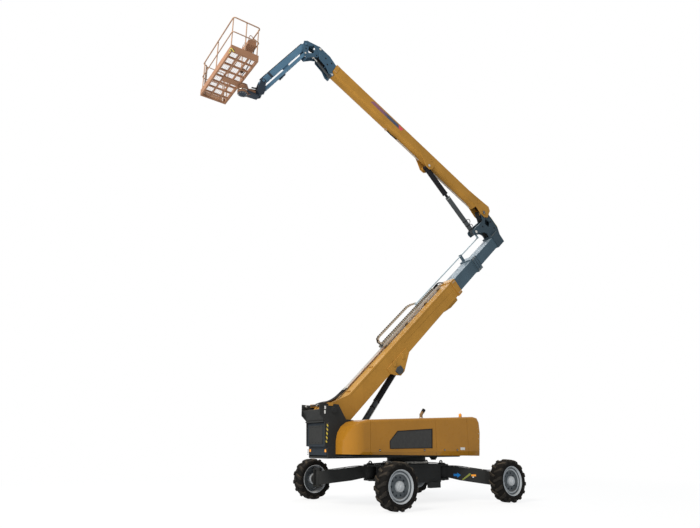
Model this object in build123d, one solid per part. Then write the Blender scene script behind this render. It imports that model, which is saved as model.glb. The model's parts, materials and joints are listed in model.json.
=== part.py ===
"""Articulating boom lift: one solid or group of like solids per named sub-part.

The machine frame has the slew axis at x = y = 0 and the ground at z = 0.  +X runs from the
counterweight end (rear) toward the stowed elbow (front), +Y is the machine's left, +Z is up.
Lengths are millimetres.  Every boom piece is drawn in its boom's own frame, where x runs along
the boom from its pivot pin and z is square to it, and is then laid at the boom's angle.
"""
from build123d import *
import math
import os

# ---------------------------------------------------------------- wheels and legs
TYRE_R = 577.5
TYRE_W = 445
TREAD_R = 546
RIM_R = 386
WHEEL_X = 2035
WHEEL_Y = 2030
KINGPIN_INSET = 380
LEG_PIN_X = 980
LEG_PIN_Y = 480
LEG_SWING = 42.0
STEER_LOW = -35.0
LUGS_A_SIDE = 14
SIDES = (("front_right", 1, -1), ("front_left", 1, 1), ("rear_right", -1, -1), ("rear_left", -1, 1))

# ---------------------------------------------------------------- chassis and turntable
CHASSIS_Z = (530, 1020)
RING_R = 600
DECK_Z = 1200
PLATE_Y = (455, 490)
PIVOT = (-2880, 2440)
CYL_BASE = (-2120, 1450)
HOOD_IN_Y = 500
HOOD_OUT_Y = 1220
HOOD_SKIN = 12
HOOD_CREASE_Z = 1370
HOOD_TUCK = 45
HOOD_CORNER_R = 420
HOOD_REAR = -2830
DOOR_SEAMS = (-2210, 120, 1390)
DOOR_GAP = 8
EXHAUST_AT = (-50, -800)
EXHAUST_R = 46
BEACON_AT = (1740, -620)
BEACON_R = 56

# ---------------------------------------------------------------- lower boom (s along, n square)
LOWER_ANGLE = 43.3
LOWER_FRONT = 6860
LOWER_TOP = -106
LOWER_BOTTOM = -641
LOWER_HALF = 280
MID_COLLAR = (8200, 8500)
INNER_END = 9970
LOWER_STROKE_IN = 1320
SOCKET_LENGTH = 470
SOCKET_HALF = 250
SOCKET_WALL = 35
ELBOW = (INNER_END + 440, 783)
UPPER_FOOT = (INNER_END - 525, 450)
CHEEK_Y = (106, 146)
PUSH_TUBE = (130, 140)
PUSH_TUBE_R = 22
LOWER_LUG = (2700, -820)

# ---------------------------------------------------------------- upper boom (t along, m square)
UPPER_ANGLE = 153.4
UPPER_TOP = 375
UPPER_FRONT = 7840
UPPER_HALF = 170
UPPER_LUG = (3010, -160)
MOUNT_PIN = (UPPER_FRONT + 760, 360)
LEVEL_FOOT = (UPPER_FRONT - 40, -150)

# ---------------------------------------------------------------- jib and platform
JIB_ANGLE = -124.5
JIB_LENGTH = 2540
JIB_DROP = 360
JIB_OFFSET = (-550.5, -22)
LEVEL_EYE_R = 330
LEVEL_EYE_ANGLE = -121.25
DECK_DROP = 277
ROTATOR_REACH = 591
PLATFORM_GAP = 80
PLATFORM_DEPTH = 820
PLATFORM_HALF = 1220
RAIL_HEIGHT = 1110


# Each cylinder's turn and travel for each radian of the boom it lifts, as (radians, metres).
LINKS = {"lower": (-0.015, 1.193), "upper": (-0.049, 0.885), "level": (0.07, -0.289)}


# ---------------------------------------------------------------- helpers
def block(x0, x1, y0, y1, z0, z1):
    """A box between two corners."""
    return Pos((x0 + x1) / 2, (y0 + y1) / 2, (z0 + z1) / 2) * Box(x1 - x0, y1 - y0, z1 - z0)


def slab(points, y0, y1):
    """An outline of (x, z) points, thick from y0 to y1."""
    side = Plane(origin=(0, y1, 0), x_dir=(1, 0, 0), z_dir=(0, -1, 0))
    return extrude(side * Polygon(*points, align=None), amount=y1 - y0, dir=(0, -1, 0))


def sheet_z(points, z0, z1):
    """An outline of (x, y) points, thick from z0 to z1."""
    return extrude(Pos(0, 0, z0) * Polygon(*points, align=None), amount=z1 - z0, dir=(0, 0, 1))


def bar(start, end, radius):
    """A round bar between two points."""
    a = Vector(*start)
    b = Vector(*end)
    run = b - a
    return extrude(Plane(origin=a, z_dir=run.normalized()) * Circle(radius), amount=run.length)


def pin(at, radius, y0, y1):
    """A round bar across the machine at an (x, z) point."""
    return bar((at[0], y0, at[1]), (at[0], y1, at[1]), radius)


def post(x, y, z0, z1, radius):
    """A round upright bar."""
    return bar((x, y, z0), (x, y, z1), radius)


def box_tube(x0, x1, half, z0, z1, wall):
    """A square tube along x, open at both ends."""
    return block(x0, x1, -half, half, z0, z1) - block(
        x0 - 1, x1 + 1, -half + wall, half - wall, z0 + wall, z1 - wall
    )


def both(make, y0, y1):
    """The same plate on the right and on the left of the middle plane."""
    return make(y0, y1) + make(-y1, -y0)


def boom_place(pivot, angle, flip=1):
    """Where a boom's own frame lies; flip = -1 keeps z upward on a boom that points left."""
    c = math.cos(math.radians(angle))
    s = math.sin(math.radians(angle))
    return Plane(origin=(pivot[0], 0, pivot[1]), x_dir=(c, 0, s), z_dir=(-s * flip, 0, c * flip)).location


def boom_point(pivot, angle, along, square, flip=1):
    """An (x, z) point given along and square to a boom."""
    c = math.cos(math.radians(angle))
    s = math.sin(math.radians(angle))
    return (pivot[0] + along * c - square * s * flip, pivot[1] + along * s + square * c * flip)


def lower_point(along, square):
    return boom_point(PIVOT, LOWER_ANGLE, along, square)


def upper_point(along, square):
    return boom_point(ELBOW_AT, UPPER_ANGLE, along, square, -1)


ELBOW_AT = boom_point(PIVOT, LOWER_ANGLE, *ELBOW)
LOWER = boom_place(PIVOT, LOWER_ANGLE)
UPPER = boom_place(ELBOW_AT, UPPER_ANGLE, -1)
FOOT_AT = lower_point(*UPPER_FOOT)
LOWER_LUG_AT = lower_point(*LOWER_LUG)
UPPER_LUG_AT = upper_point(*UPPER_LUG)
MOUNT_AT = upper_point(*MOUNT_PIN)
LEVEL_FOOT_AT = upper_point(*LEVEL_FOOT)
LEVEL_EYE_AT = (
    MOUNT_AT[0] + LEVEL_EYE_R * math.cos(math.radians(LEVEL_EYE_ANGLE)),
    MOUNT_AT[1] + LEVEL_EYE_R * math.sin(math.radians(LEVEL_EYE_ANGLE)),
)
JIB_REAR = (MOUNT_AT[0] + JIB_OFFSET[0], MOUNT_AT[1] + JIB_OFFSET[1])
JIB_FRONT = (
    JIB_REAR[0] + JIB_LENGTH * math.cos(math.radians(JIB_ANGLE)),
    JIB_REAR[1] + JIB_LENGTH * math.sin(math.radians(JIB_ANGLE)),
)
DECK_TOP = JIB_FRONT[1] - DECK_DROP
RAIL_TOP = DECK_TOP + RAIL_HEIGHT
ROTATOR_X = JIB_FRONT[0] - ROTATOR_REACH
PLATFORM_X = (ROTATOR_X - PLATFORM_GAP - PLATFORM_DEPTH, ROTATOR_X - PLATFORM_GAP)
KINGPIN_Y = WHEEL_Y - KINGPIN_INSET


# ---------------------------------------------------------------- wheels
def faceted_ring(profile, count):
    """A closed (radius, y) outline carried round the y axis in flat facets."""
    faces = []
    for i in range(count):
        turn = [2 * math.pi * (i + k) / count for k in (0, 1)]
        for (r0, y0), (r1, y1) in zip(profile, profile[1:] + profile[:1]):
            corners = [
                (r0 * math.cos(turn[0]), y0, r0 * math.sin(turn[0])),
                (r0 * math.cos(turn[1]), y0, r0 * math.sin(turn[1])),
                (r1 * math.cos(turn[1]), y1, r1 * math.sin(turn[1])),
                (r1 * math.cos(turn[0]), y1, r1 * math.sin(turn[0])),
            ]
            faces.append(Face(Wire.make_polygon([Vector(*c) for c in corners], close=True)))
    solid = Solid(Shell(faces))
    if solid.volume < 0:
        solid = Solid(solid.wrapped.Reversed())
    return solid


def make_tyre():
    """A foam-filled tyre with chevron lugs, its axle along y and its middle at the origin."""
    half = TYRE_W / 2
    profile = [
        (RIM_R, -half + 45), (RIM_R, half - 45), (470, half - 8), (515, half - 12), (TREAD_R, half - 45),
        (TREAD_R, -half + 45), (515, -half + 12), (470, -half + 8),
    ]
    tyre = faceted_ring(profile, 2 * LUGS_A_SIDE)
    pitch = 360 / LUGS_A_SIDE
    lugs = []
    for i in range(LUGS_A_SIDE):
        for side in (-1, 1):
            outline = [(-36, -12), (30, -12), (92, half - 2), (14, half - 2)]
            lug = sheet_z([(x, side * y) for x, y in outline], 0, math.sqrt(TYRE_R**2 - 92**2) - 520)
            angle = pitch * (i + (0.5 if side > 0 else 0)) + pitch / 4
            lugs.append(Rot(0, angle, 0) * Pos(0, 0, 520) * lug)
    return tyre.fuse(*[piece.solid() for piece in lugs])


def make_rim():
    """A rim with a dished disc, a drive hub and a cap; its outer face looks along -y."""
    half = TYRE_W / 2
    barrel = Rot(90, 0, 0) * (Cylinder(RIM_R - 3, TYRE_W - 72) - Cylinder(RIM_R - 22, TYRE_W))
    flange = Rot(90, 0, 0) * (Cylinder(RIM_R + 8, 14) - Cylinder(RIM_R - 22, 15))
    flanges = Pos(0, half - 30, 0) * flange + Pos(0, -half + 30, 0) * flange
    disc = Rot(90, 0, 0) * (Cylinder(RIM_R - 10, 24) - Cylinder(90, 30))
    hub = Rot(90, 0, 0) * Cylinder(165, 250)
    cap = Rot(90, 0, 0) * Cylinder(95, 60)
    rim = barrel + flanges + Pos(0, -105, 0) * disc + Pos(0, -45, 0) * hub + Pos(0, -190, 0) * cap
    studs = [
        Rot(0, 36 * i, 0) * Pos(245, -122, 0) * Rot(90, 0, 0) * Cylinder(15, 30) for i in range(10)
    ]
    return rim + studs


def make_knuckle():
    """The steered carrier, its kingpin at x = y = 0 and the axle at z = TYRE_R, toward -y."""
    ears = post(0, 0, 362, 408, 92) + post(0, 0, 832, 878, 92)
    ears += block(-92, 92, -145, 0, 362, 408) + block(-92, 92, -145, 0, 832, 878)
    web = block(-105, 105, -150, -112, 362, 878)
    kingpin = post(0, 0, 350, 890, 44)
    drive = bar((0, -150, TYRE_R), (0, -KINGPIN_INSET + 88, TYRE_R), 140)
    arm = block(-30, 30, 60, 190, 368, 402)
    return ears + web + kingpin + drive + arm


def make_leg(length):
    """A swinging leg: its pin at the origin, its kingpin tube at x = length."""
    side = [
        (-60, 628), (-60, 942), (380, 942), (length - 40, 800), (length - 40, 430), (520, 560), (200, 628)
    ]
    beam = slab(side, -130, 130)
    beam &= sheet_z(
        [(-60, -130), (length - 330, -130), (length - 130, -84), (length, -84),
        (length, 84), (length - 130, 84),
         (length - 330, 130), (-60, 130)],
        400, 960,
    )
    root = post(0, 0, 626, 944, 165)
    tube = post(length, 0, 414, 826, 86)
    web = block(length - 60, length, -80, 80, 440, 800)
    leg = beam + root + web + tube
    return leg - post(0, 0, 600, 960, 60.5) - post(length, 0, 400, 840, 44.5)


# ---------------------------------------------------------------- chassis
def make_chassis():
    z0, z1 = CHASSIS_Z
    body = block(-640, 640, -780, 780, z0, z1)
    for x in (-1, 1):
        body += block(x * 640 - 120, x * 640 + 120, -260, 260, z0, z1)
    ear = [(560, -700), (1010, -690), (1165, -560), (1165, 560), (1010, 690), (560, 700)]
    for sx in (-1, 1):
        outline = [(sx * x, y) for x, y in ear]
        body += sheet_z(outline, 565, 618) + sheet_z(outline, 954, 1004)
    for name, sx, sy in SIDES:
        body += post(sx * LEG_PIN_X, sy * LEG_PIN_Y, 545, 1030, 60)
        body += post(sx * LEG_PIN_X, sy * LEG_PIN_Y, 1004, 1024, 110)
    body += post(0, 0, 1020, 1096, RING_R)
    for y in (-1, 1):
        body += block(150, 560, y * 780 - 60, y * 780 + 60, 385, 535)
    for x in (-1, 1):
        body += block(x * 760 - 60, x * 760 + 60, -90, 90, 640, 930)
    return body


def make_tie_downs():
    eye = slab([(-60, 0), (60, 0), (60, 60), (25, 105), (-25, 105), (-60, 60)], -14, 14)
    eye -= pin((0, 55), 28, -20, 20)
    eyes = [Pos(sx * 1090, sy * 330, 1004) * eye for sx in (-1, 1) for sy in (-1, 1)]
    return eyes[0] + eyes[1:]


# ---------------------------------------------------------------- turntable
TOWER = [
    (-3340, 2610), (-3340, 2310), (-3180, 2160), (-3160, 1510), (-3070, 1500), (-3070, 1215), (1760, 1215),
    (1760, 1560), (-1500, 1640), (-2050, 1760), (-2480, 2180), (-2740, 2590),
]
ARCH = [
    (-2930, 1600), (-2930, 1860), (-2880, 2010), (-2790, 2120), (-2660, 2185), (-2520, 2205), (-2240, 2190),
    (-2060, 2120), (-1930, 1980), (-1880, 1800), (-1880, 1600),
]
HOOD_SIDE = [
    (HOOD_REAR, 1310), (HOOD_REAR, 1650), (-2785, 1850), (-2680, 2010), (-2510, 2125),
    (-2290, 2180), (1700, 2360),
    (1860, 2330), (1945, 2200), (1960, 1900), (1880, 1235),
]
HOOD_INNER = [
    (HOOD_REAR + 12, 1200), (HOOD_REAR + 12, 1648), (-2773, 1845), (-2672, 2000), (-2507, 2113),
    (-2288, 2168), (1700, 2348),
    (1853, 2320), (1933, 2197), (1948, 1900), (1868, 1200),
]


def make_turntable():
    frame = both(lambda a, b: slab(TOWER, a, b), *PLATE_Y)
    frame += block(-3070, 1760, -470, 470, DECK_Z, DECK_Z + 50)
    corner = HOOD_REAR + HOOD_CORNER_R
    edge = HOOD_OUT_Y - HOOD_TUCK - HOOD_SKIN - 8
    tray = [
        (HOOD_REAR + 20, edge - 360), (HOOD_REAR + 125, edge - 110), (corner, edge), (1805, edge), (1855, edge - 50)
    ]
    tray += [(x, -y) for x, y in reversed(tray)]
    frame += sheet_z(tray, 1245, 1275)
    frame += post(0, 0, 1102, 1215, RING_R - 30)
    frame += both(
        lambda a, b: slab([(-2300, 1245), (-2200, 1530), (-2060, 1550), (-1880, 1245)], a, b), 112, 150
    )
    frame += both(lambda a, b: pin(CYL_BASE, 62, a, b), 112, 172)
    frame += pin(PIVOT, 60, -505, 505) + both(lambda a, b: pin(PIVOT, 95, a, b), 488, 512)
    frame += both(lambda a, b: slab(ARCH, a, b), PLATE_Y[0] + 4, PLATE_Y[1] - 4)
    frame += pin((-3285, 2555), 22, -470, 470)
    frame += slab([(-3325, 2440), (-3185, 2150), (-3150, 2165), (-3290, 2455)], -470, 470)
    frame += block(-3215, -3110, -470, 470, 2120, 2155)
    frame += block(1700, 1735, -460, 460, 1240, 1540)
    frame -= block(-2405, -1450, -109, 109, 1190, 1290)
    return frame


def make_counterweight():
    rear = slab(
        [(-3080, 1275), (-3080, 1500), (-3150, 1500), (-3150, 2110),
        (-3110, 2110), (-3060, 1720), (-2420, 1690),
         (-2420, 1275)],
        -450, 450,
    )
    wing = block(HOOD_REAR + 120, -2330, 520, 1010, 1275, 1600)
    return rear + wing + mirror(wing, Plane.XZ)


def hood_body(outline, inset, inner_side):
    """One skin of the hood: rounded along its top edge and at its rear corner, tucked in below a crease."""
    side = -HOOD_OUT_Y + inset
    body = slab(outline, side, inner_side)
    body = fillet(
        [e for e in body.edges() if abs(e.center().Y - side) < 1 and e.center().Z > 1450], 70 - inset
    )
    radius = HOOD_CORNER_R - inset
    rear = HOOD_REAR + inset
    plan = Pos((rear + 2200) / 2, (side + 0) / 2, 1000) * Box(
        2200 - rear, -side, 1600, align=(Align.CENTER, Align.CENTER, Align.MIN)
    )
    corner = [e for e in plan.edges() if abs(e.center().X - rear) < 1 and abs(e.center().Y - side) < 1]
    body &= fillet(corner, radius)
    face = Plane(origin=(-3200, 0, 0), x_dir=(0, 1, 0), z_dir=(1, 0, 0))
    low = 1150
    lean = HOOD_TUCK * (HOOD_CREASE_Z - low) / (HOOD_CREASE_Z - 1235)
    section = [(side, HOOD_CREASE_Z), (side + lean, low), (0, low), (0, 2700), (side, 2700)]
    return body & extrude(face * Polygon(*section, align=None), amount=5400, dir=(1, 0, 0))


def make_hood():
    """The whole right-hand hood as a shell open below and toward the boom."""
    outer = hood_body(HOOD_SIDE, 0, -HOOD_IN_Y)
    return outer - hood_body(HOOD_INNER, HOOD_SKIN, -HOOD_IN_Y + 40)


def hood_piece(hood, x0, x1):
    return hood & block(x0, x1, -1300, -400, 1000, 2600)


def make_exhaust():
    x, y = EXHAUST_AT
    pipe = post(x, y, 2240, 2400, EXHAUST_R)
    pipe += bar((x, y, 2385), (x + 122, y, 2530), EXHAUST_R)
    return pipe + Pos(x, y, 2390) * Sphere(EXHAUST_R)


def make_beacon():
    x, y = BEACON_AT
    base = post(x, y, 2330, 2375, BEACON_R)
    return base + post(x, y, 2375, 2440, BEACON_R - 8) + Pos(x, y, 2440) * Sphere(BEACON_R - 8)


# ---------------------------------------------------------------- lower boom
def make_lower_base():
    boom = box_tube(330, 6620, LOWER_HALF, LOWER_BOTTOM, LOWER_TOP, 14)
    head = [
        (-165, -60), (-130, 80), (0, 165), (130, 140), (760, LOWER_TOP), (760, LOWER_BOTTOM), (330, LOWER_BOTTOM)
    ]
    boom += both(lambda a, b: slab(head, a, b), LOWER_HALF - 32, LOWER_HALF)
    boom += pin((0, 0), 120, -440, 440)
    boom += block(120, 350, -LOWER_HALF + 10, LOWER_HALF - 10, -90, -60)
    boom -= pin((0, 0), 60.5, -460, 460)
    boom += block(
        6620, LOWER_FRONT, -LOWER_HALF - 26, LOWER_HALF + 26, LOWER_BOTTOM - 26, LOWER_TOP + 26
    ) - block(
        6600, 6900, -LOWER_HALF + 14, LOWER_HALF - 14, LOWER_BOTTOM + 14, LOWER_TOP - 14
    )
    under = [(5540, -630), (5700, -690), (6060, -765), (6520, -765), (6540, -630)]
    boom += slab(under, -210, 210)
    lug = [(2330, -450), (2330, -640), (2450, -790), (2600, -925), (2800, -925), (3360, -640), (3360, -450)]
    boom += both(lambda a, b: slab(lug, a, b), LOWER_HALF - 1, LOWER_HALF + 24)
    boom += pin(LOWER_LUG, 50, -LOWER_HALF - 34, LOWER_HALF + 34)
    boom += both(lambda a, b: pin(LOWER_LUG, 100, a, b), 101, LOWER_HALF + 24)
    return LOWER * boom


def make_lower_mid():
    tube = box_tube(1720, MID_COLLAR[0] + 20, 248, LOWER_BOTTOM + 32, LOWER_TOP - 32, 12)
    collar = block(*MID_COLLAR, -292, 292, LOWER_BOTTOM - 12, LOWER_TOP + 12) - block(
        8100, 8600, -236, 236, LOWER_BOTTOM + 44, LOWER_TOP - 44
    )
    y, n = PUSH_TUBE
    r = PUSH_TUBE_R
    guide = block(8240, 8300, y - r - 30, y + r + 30, LOWER_TOP, n + r + 30)
    guide -= block(8200, 8350, y - r - 10, y + r + 10, n - r - 10, n + r + 10)
    return LOWER * (tube + collar + guide)


def make_lower_inner():
    return LOWER * box_tube(3060, INNER_END + 30, 214, LOWER_BOTTOM + 66, LOWER_TOP - 66, 12)


def make_elbow():
    """The socket on the inner section's end and the bracket that carries the elbow pin."""
    socket = block(0, SOCKET_LENGTH, -SOCKET_HALF, SOCKET_HALF, LOWER_BOTTOM + 20, LOWER_TOP - 10)
    gap = SOCKET_HALF - SOCKET_WALL
    socket -= block(-10, SOCKET_LENGTH - 240, -gap, gap, LOWER_BOTTOM + 65, LOWER_TOP - 65)
    cheek = [
        (5, -130), (430, -610), (490, -600), (730, -60), (695, 600), (590, 830), (470, 915), (360, 890),
        (300, 740), (210, 560), (20, 575), (-550, 590), (-650, 560), (-680, 470), (-640, 350), (-370, 320),
        (-90, 180), (5, 60),
    ]
    bracket = both(lambda a, b: slab(cheek, a, b), *CHEEK_Y)
    window = [(180, 420), (380, 560), (510, 300), (280, 180)]
    bracket -= slab(window, -200, 200)
    bracket -= pin((ELBOW[0] - INNER_END, ELBOW[1]), 50.5, -200, 200)
    foot = (UPPER_FOOT[0] - INNER_END, UPPER_FOOT[1])
    bracket += both(lambda a, b: pin(foot, 42, a, b), CHEEK_Y[0] - 4, CHEEK_Y[1] + 14)
    spine = [(490, -600), (730, -60), (706, 400), (670, 400), (690, -60), (460, -590)]
    bracket += slab(spine, -CHEEK_Y[1], CHEEK_Y[1])
    bracket += block(20, SOCKET_LENGTH, -CHEEK_Y[1], CHEEK_Y[1], LOWER_TOP - 12, LOWER_TOP + 20)
    return LOWER * Pos(INNER_END, 0, 0) * (socket + bracket)


def make_hose_tray():
    tray = block(2950, 6500, 40, 270, -36, -28) + block(2950, 6500, 40, 46, -36, 40)
    tray += block(2950, 6500, 264, 270, -36, 40)
    for s in (3100, 4300, 5500, 6350):
        tray += block(s, s + 50, 60, 250, LOWER_TOP + 1, -30)
    lines = bar((3000, 120, -60), (980, 120, -60), 18) + bar((3000, 190, -60), (980, 190, -60), 18)
    lines += block(960, 1010, 90, 220, LOWER_TOP + 1, -38)
    lines += block(1900, 1950, 90, 220, LOWER_TOP + 1, -38)
    return LOWER * (tray + lines)


CHAIN_BEND = (3120, 150)
CHAIN_R = 118


def chain_path():
    """Middle line of the drag chain: tray run, bend, upper run and the drop to its far end."""
    points = [(6200, CHAIN_BEND[1] - CHAIN_R)]
    for i in range(9):
        a = math.radians(-90 - 180 * i / 8)
        points.append((CHAIN_BEND[0] + CHAIN_R * math.cos(a), CHAIN_BEND[1] + CHAIN_R * math.sin(a)))
    return points + [(4780, CHAIN_BEND[1] + CHAIN_R), (5140, PUSH_TUBE[1] + 10)]


def make_drag_chain():
    path = chain_path()
    chain = None
    for (s0, n0), (s1, n1) in zip(path, path[1:]):
        run = math.hypot(s1 - s0, n1 - n0)
        ux, uz = (s1 - s0) / run, (n1 - n0) / run
        e = 4
        strip = [
            (s0 - ux * e - uz * 25, n0 - uz * e + ux * 25), (s1 + ux * e - uz * 25, n1 + uz * e + ux * 25),
            (s1 + ux * e + uz * 25, n1 + uz * e - ux * 25), (s0 - ux * e + uz * 25, n0 - uz * e - ux * 25),
        ]
        for y in (170, 250):
            piece = slab(strip, y, y + 8)
            chain = piece if chain is None else chain + piece
        count = max(1, int(run // 150))
        for i in range(count):
            k = (i + 0.5) / count
            c = (s0 + (s1 - s0) * k, n0 + (n1 - n0) * k)
            chain += block(c[0] - 22, c[0] + 22, 174, 254, c[1] - 14, c[1] + 14)
    return LOWER * chain


def make_push_tube():
    y, n = PUSH_TUBE
    end = INNER_END - 290
    tube = bar((5150, y, n), (end, y, n), PUSH_TUBE_R)
    tube += slab(
        [(end - 40, n - 26), (end + 20, n - 26), (end + 20, 269.8), (end - 40, 299.8)], y - 24, y + 26
    )
    tube += block(5080, 5160, y - 24, y + 30, n - 30, n + 30)
    return LOWER * tube


# ---------------------------------------------------------------- upper boom
def hexagon(inset):
    """The upper boom's section, as (y, m) corners set in from the outer one."""
    k = inset * 0.8
    return [
        (-UPPER_HALF + inset, UPPER_TOP - inset), (-UPPER_HALF + inset, k), (-90 + k / 2, -50 + inset),
        (90 - k / 2, -50 + inset), (UPPER_HALF - inset, k), (UPPER_HALF - inset, UPPER_TOP - inset),
    ]


def hex_tube(t0, t1, inset, wall):
    def prism(i, a, b):
        section = Plane(origin=(a, 0, 0), x_dir=(0, 1, 0), z_dir=(1, 0, 0))
        return extrude(section * Polygon(*hexagon(i), align=None), amount=b - a, dir=(1, 0, 0))
    return prism(inset, t0, t1) - prism(inset + wall, t0 - 1, t1 + 1)


def make_upper_base():
    boom = hex_tube(420, UPPER_FRONT, 0, 10)
    rear = [
        (950, UPPER_TOP), (670, UPPER_TOP + 12), (-150, 455), (-270, 330), (-270, -30), (-120, -140),
        (90, -140), (500, 10), (950, 10),
    ]
    boom += both(lambda a, b: slab(rear, a, b), UPPER_HALF - 9, UPPER_HALF + 7)
    boom += block(-262, 430, -UPPER_HALF + 20, UPPER_HALF - 20, UPPER_TOP - 22, UPPER_TOP - 2)
    lug = [(2780, 120), (2830, -180), (2930, -285), (3110, -285), (3310, -120), (3640, 120)]
    boom += both(lambda a, b: slab(lug, a, b), UPPER_HALF - 9, UPPER_HALF + 7)
    boom += pin(UPPER_LUG, 40, -UPPER_HALF - 14, UPPER_HALF + 14)
    boom += pin((0, 0), 50, -UPPER_HALF - 30, UPPER_HALF + 30)
    boom += both(lambda a, b: pin(UPPER_LUG, 70, a, b), 112, UPPER_HALF)
    return UPPER * boom


def make_upper_mid():
    return UPPER * hex_tube(560, UPPER_FRONT, 20, 9)


def make_upper_inner():
    tube = hex_tube(680, UPPER_FRONT + 60, 38, 9)
    cheek = [
        (10, 315), (350, 435), (580, 435), (850, 440),
        (860, 300), (720, 210), (600, 0), (260, -60), (60, -195),
        (-80, -195), (-100, -110), (10, -45),
    ]
    head = both(lambda a, b: slab([(UPPER_FRONT + t, m) for t, m in cheek], a, b), 137, 165)
    head += block(UPPER_FRONT + 10, UPPER_FRONT + 50, -150, 150, -45, 320)
    head += block(UPPER_FRONT + 350, UPPER_FRONT + 560, -150, 150, 412, 435)
    head += pin(LEVEL_FOOT, 24, -150, 150)
    head -= pin(MOUNT_PIN, 32.5, -200, 200)
    return UPPER * (tube + head)


# ---------------------------------------------------------------- cylinders
def with_eye(piece, at, radius, half, bore):
    """A piece with a cross eye at its end; a bore of 0 leaves the eye solid, with its own stub pins."""
    piece = piece + pin(at, radius, -half, half)
    if bore:
        return piece - pin(at, bore, -half - 5, half + 5)
    return piece + pin(at, radius * 0.6, -half - 8, half + 8)


def cylinder_frame(start, end):
    """A frame at start with x toward end."""
    angle = math.degrees(math.atan2(end[1] - start[1], end[0] - start[0]))
    return boom_place(start, angle), math.hypot(end[0] - start[0], end[1] - start[1])


def make_cylinder(rod_at, barrel_at, rod_length, barrel, sleeve, radii, eye_r, eye_half, bores):
    """Rod with its dust sleeve, and barrel; radii are the sleeve's, the barrel's and the rod's."""
    sleeve_r, barrel_r, rod_r = radii
    place, span = cylinder_frame(rod_at, barrel_at)
    rod = bar((eye_r * 0.6, 0, 0), (rod_length, 0, 0), rod_r)
    if sleeve:
        rod += bar((eye_r * 0.75, 0, 0), (eye_r + 20, 0, 0), sleeve_r)
        rod += bar((eye_r, 0, 0), (sleeve, 0, 0), sleeve_r) - bar(
            (eye_r + 20, 0, 0), (sleeve + 1, 0, 0), sleeve_r - 6
        )
        rod += bar((sleeve - 40, 0, 0), (sleeve, 0, 0), sleeve_r + 7) - bar(
            (sleeve - 41, 0, 0), (sleeve + 1, 0, 0), sleeve_r - 6
        )
    rod = with_eye(rod, (0, 0), eye_r, eye_half, bores[0])
    shell = bar((span - barrel, 0, 0), (span - eye_r * 0.6, 0, 0), barrel_r)
    shell -= bar((span - barrel - 1, 0, 0), (span - eye_r - 40, 0, 0), rod_r + 1)
    shell = with_eye(shell, (span, 0), eye_r, eye_half, bores[1])
    return place * rod, place * shell


# ---------------------------------------------------------------- jib and platform
def make_jib_mount():
    x0, z0 = JIB_REAR
    mx, mz = MOUNT_AT
    cheek = [
        (mx + 60, mz + 60), (mx + 90, mz - 40), (mx - 60, mz - 330),
        (mx - 200, mz - 370), (x0 + 60, z0 - 520),
        (x0 - 50, z0 - 440), (x0 - 75, z0 - 330), (x0 - 55, z0 - 180), (x0 - 75, z0), (x0 - 60, z0 + 110),
        (x0 + 60, z0 + 170), (mx - 60, mz + 130),
    ]
    window = [
        (mx - 170, mz - 20), (mx - 240, mz - 250), (x0 + 110, z0 - 300), (x0 + 120, z0 - 10), (mx - 250, mz + 40)
    ]
    plates = both(lambda a, b: slab(cheek, a, b) - slab(window, a - 1, b + 1), 106, 130)
    plates += pin(MOUNT_AT, 32, -172, 172)
    plates += both(lambda a, b: pin(LEVEL_EYE_AT, 20, a, b), 66, 110)
    plates += block(x0 + 110, mx - 150, -110, 110, mz + 95, mz + 115)
    plates -= pin(JIB_REAR, 28.5, -140, 140)
    plates += both(lambda a, b: pin((x0, z0 - JIB_DROP), 20, a, b), 74, 130)
    plates += block(x0 + 30, x0 + 90, -110, 110, z0 - 515, z0 - 480)
    return plates


def make_jib_beam():
    place = boom_place(JIB_REAR, JIB_ANGLE, -1)
    beam = box_tube(60, JIB_LENGTH - 60, 64, -98, 98, 8)
    beam += pin((0, 0), 80, -64, 64) + pin((JIB_LENGTH, 0), 80, -64, 64)
    beam += block(40, 90, -64, 64, -90, 90) + block(JIB_LENGTH - 90, JIB_LENGTH - 40, -64, 64, -90, 90)
    beam += pin((0, 0), 28, -150, 150) + pin((JIB_LENGTH, 0), 28, -150, 150)
    return place * beam


def make_jib_link():
    place = boom_place((JIB_REAR[0], JIB_REAR[1] - JIB_DROP), JIB_ANGLE, -1)
    link = None
    for y in (-1, 1):
        low, high = sorted((y * 72, y * 100))
        strap = block(0, JIB_LENGTH, low, high, -50, 50) + pin((0, 0), 50, low, high)
        strap += pin((JIB_LENGTH, 0), 50, low, high)
        strap -= pin((0, 0), 20.5, low - 1, high + 1) + pin((JIB_LENGTH, 0), 20.5, low - 1, high + 1)
        link = strap if link is None else link + strap
    return place * link


def make_platform_support():
    x, z = JIB_FRONT
    cheek = [
        (x + 90, z + 60), (x + 30, z + 95), (x - 60, z + 80), (x - 150, z - 250), (x - 190, z - 420),
        (x - 110, z - 560), (x + 40, z - 470), (x + 80, z - 330),
    ]
    plates = both(lambda a, b: slab(cheek, a, b), 106, 130)
    plates -= pin(JIB_FRONT, 28.5, -140, 140)
    plates += both(lambda a, b: pin((x, z - JIB_DROP), 20, a, b), 74, 130)
    top = DECK_TOP - 115
    neck = sheet_z(
        [(x - 90, -108), (x - 90, 108), (ROTATOR_X + 60, 150), (ROTATOR_X + 60, -150)], top - 200, top - 150
    )
    neck += slab(
        [(x - 100, z - 560), (x - 100, z - 440), (ROTATOR_X + 60, top - 10), (ROTATOR_X + 60, top - 240)], -40, 40
    )
    neck += block(x - 130, x - 90, -108, 108, z - 545, z - 430)
    drum = post(ROTATOR_X, 0, top - 260, top, 150)
    return plates + neck + drum


def rail_path(z, inset=0):
    x0, x1 = PLATFORM_X
    y = PLATFORM_HALF
    return FilletPolyline(
        (x1 - 90, y, z), (x1, y, z), (x1, -y, z), (x0, -y, z), (x0, y, z), (x0 + 90, y, z), radius=70
    )


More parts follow.
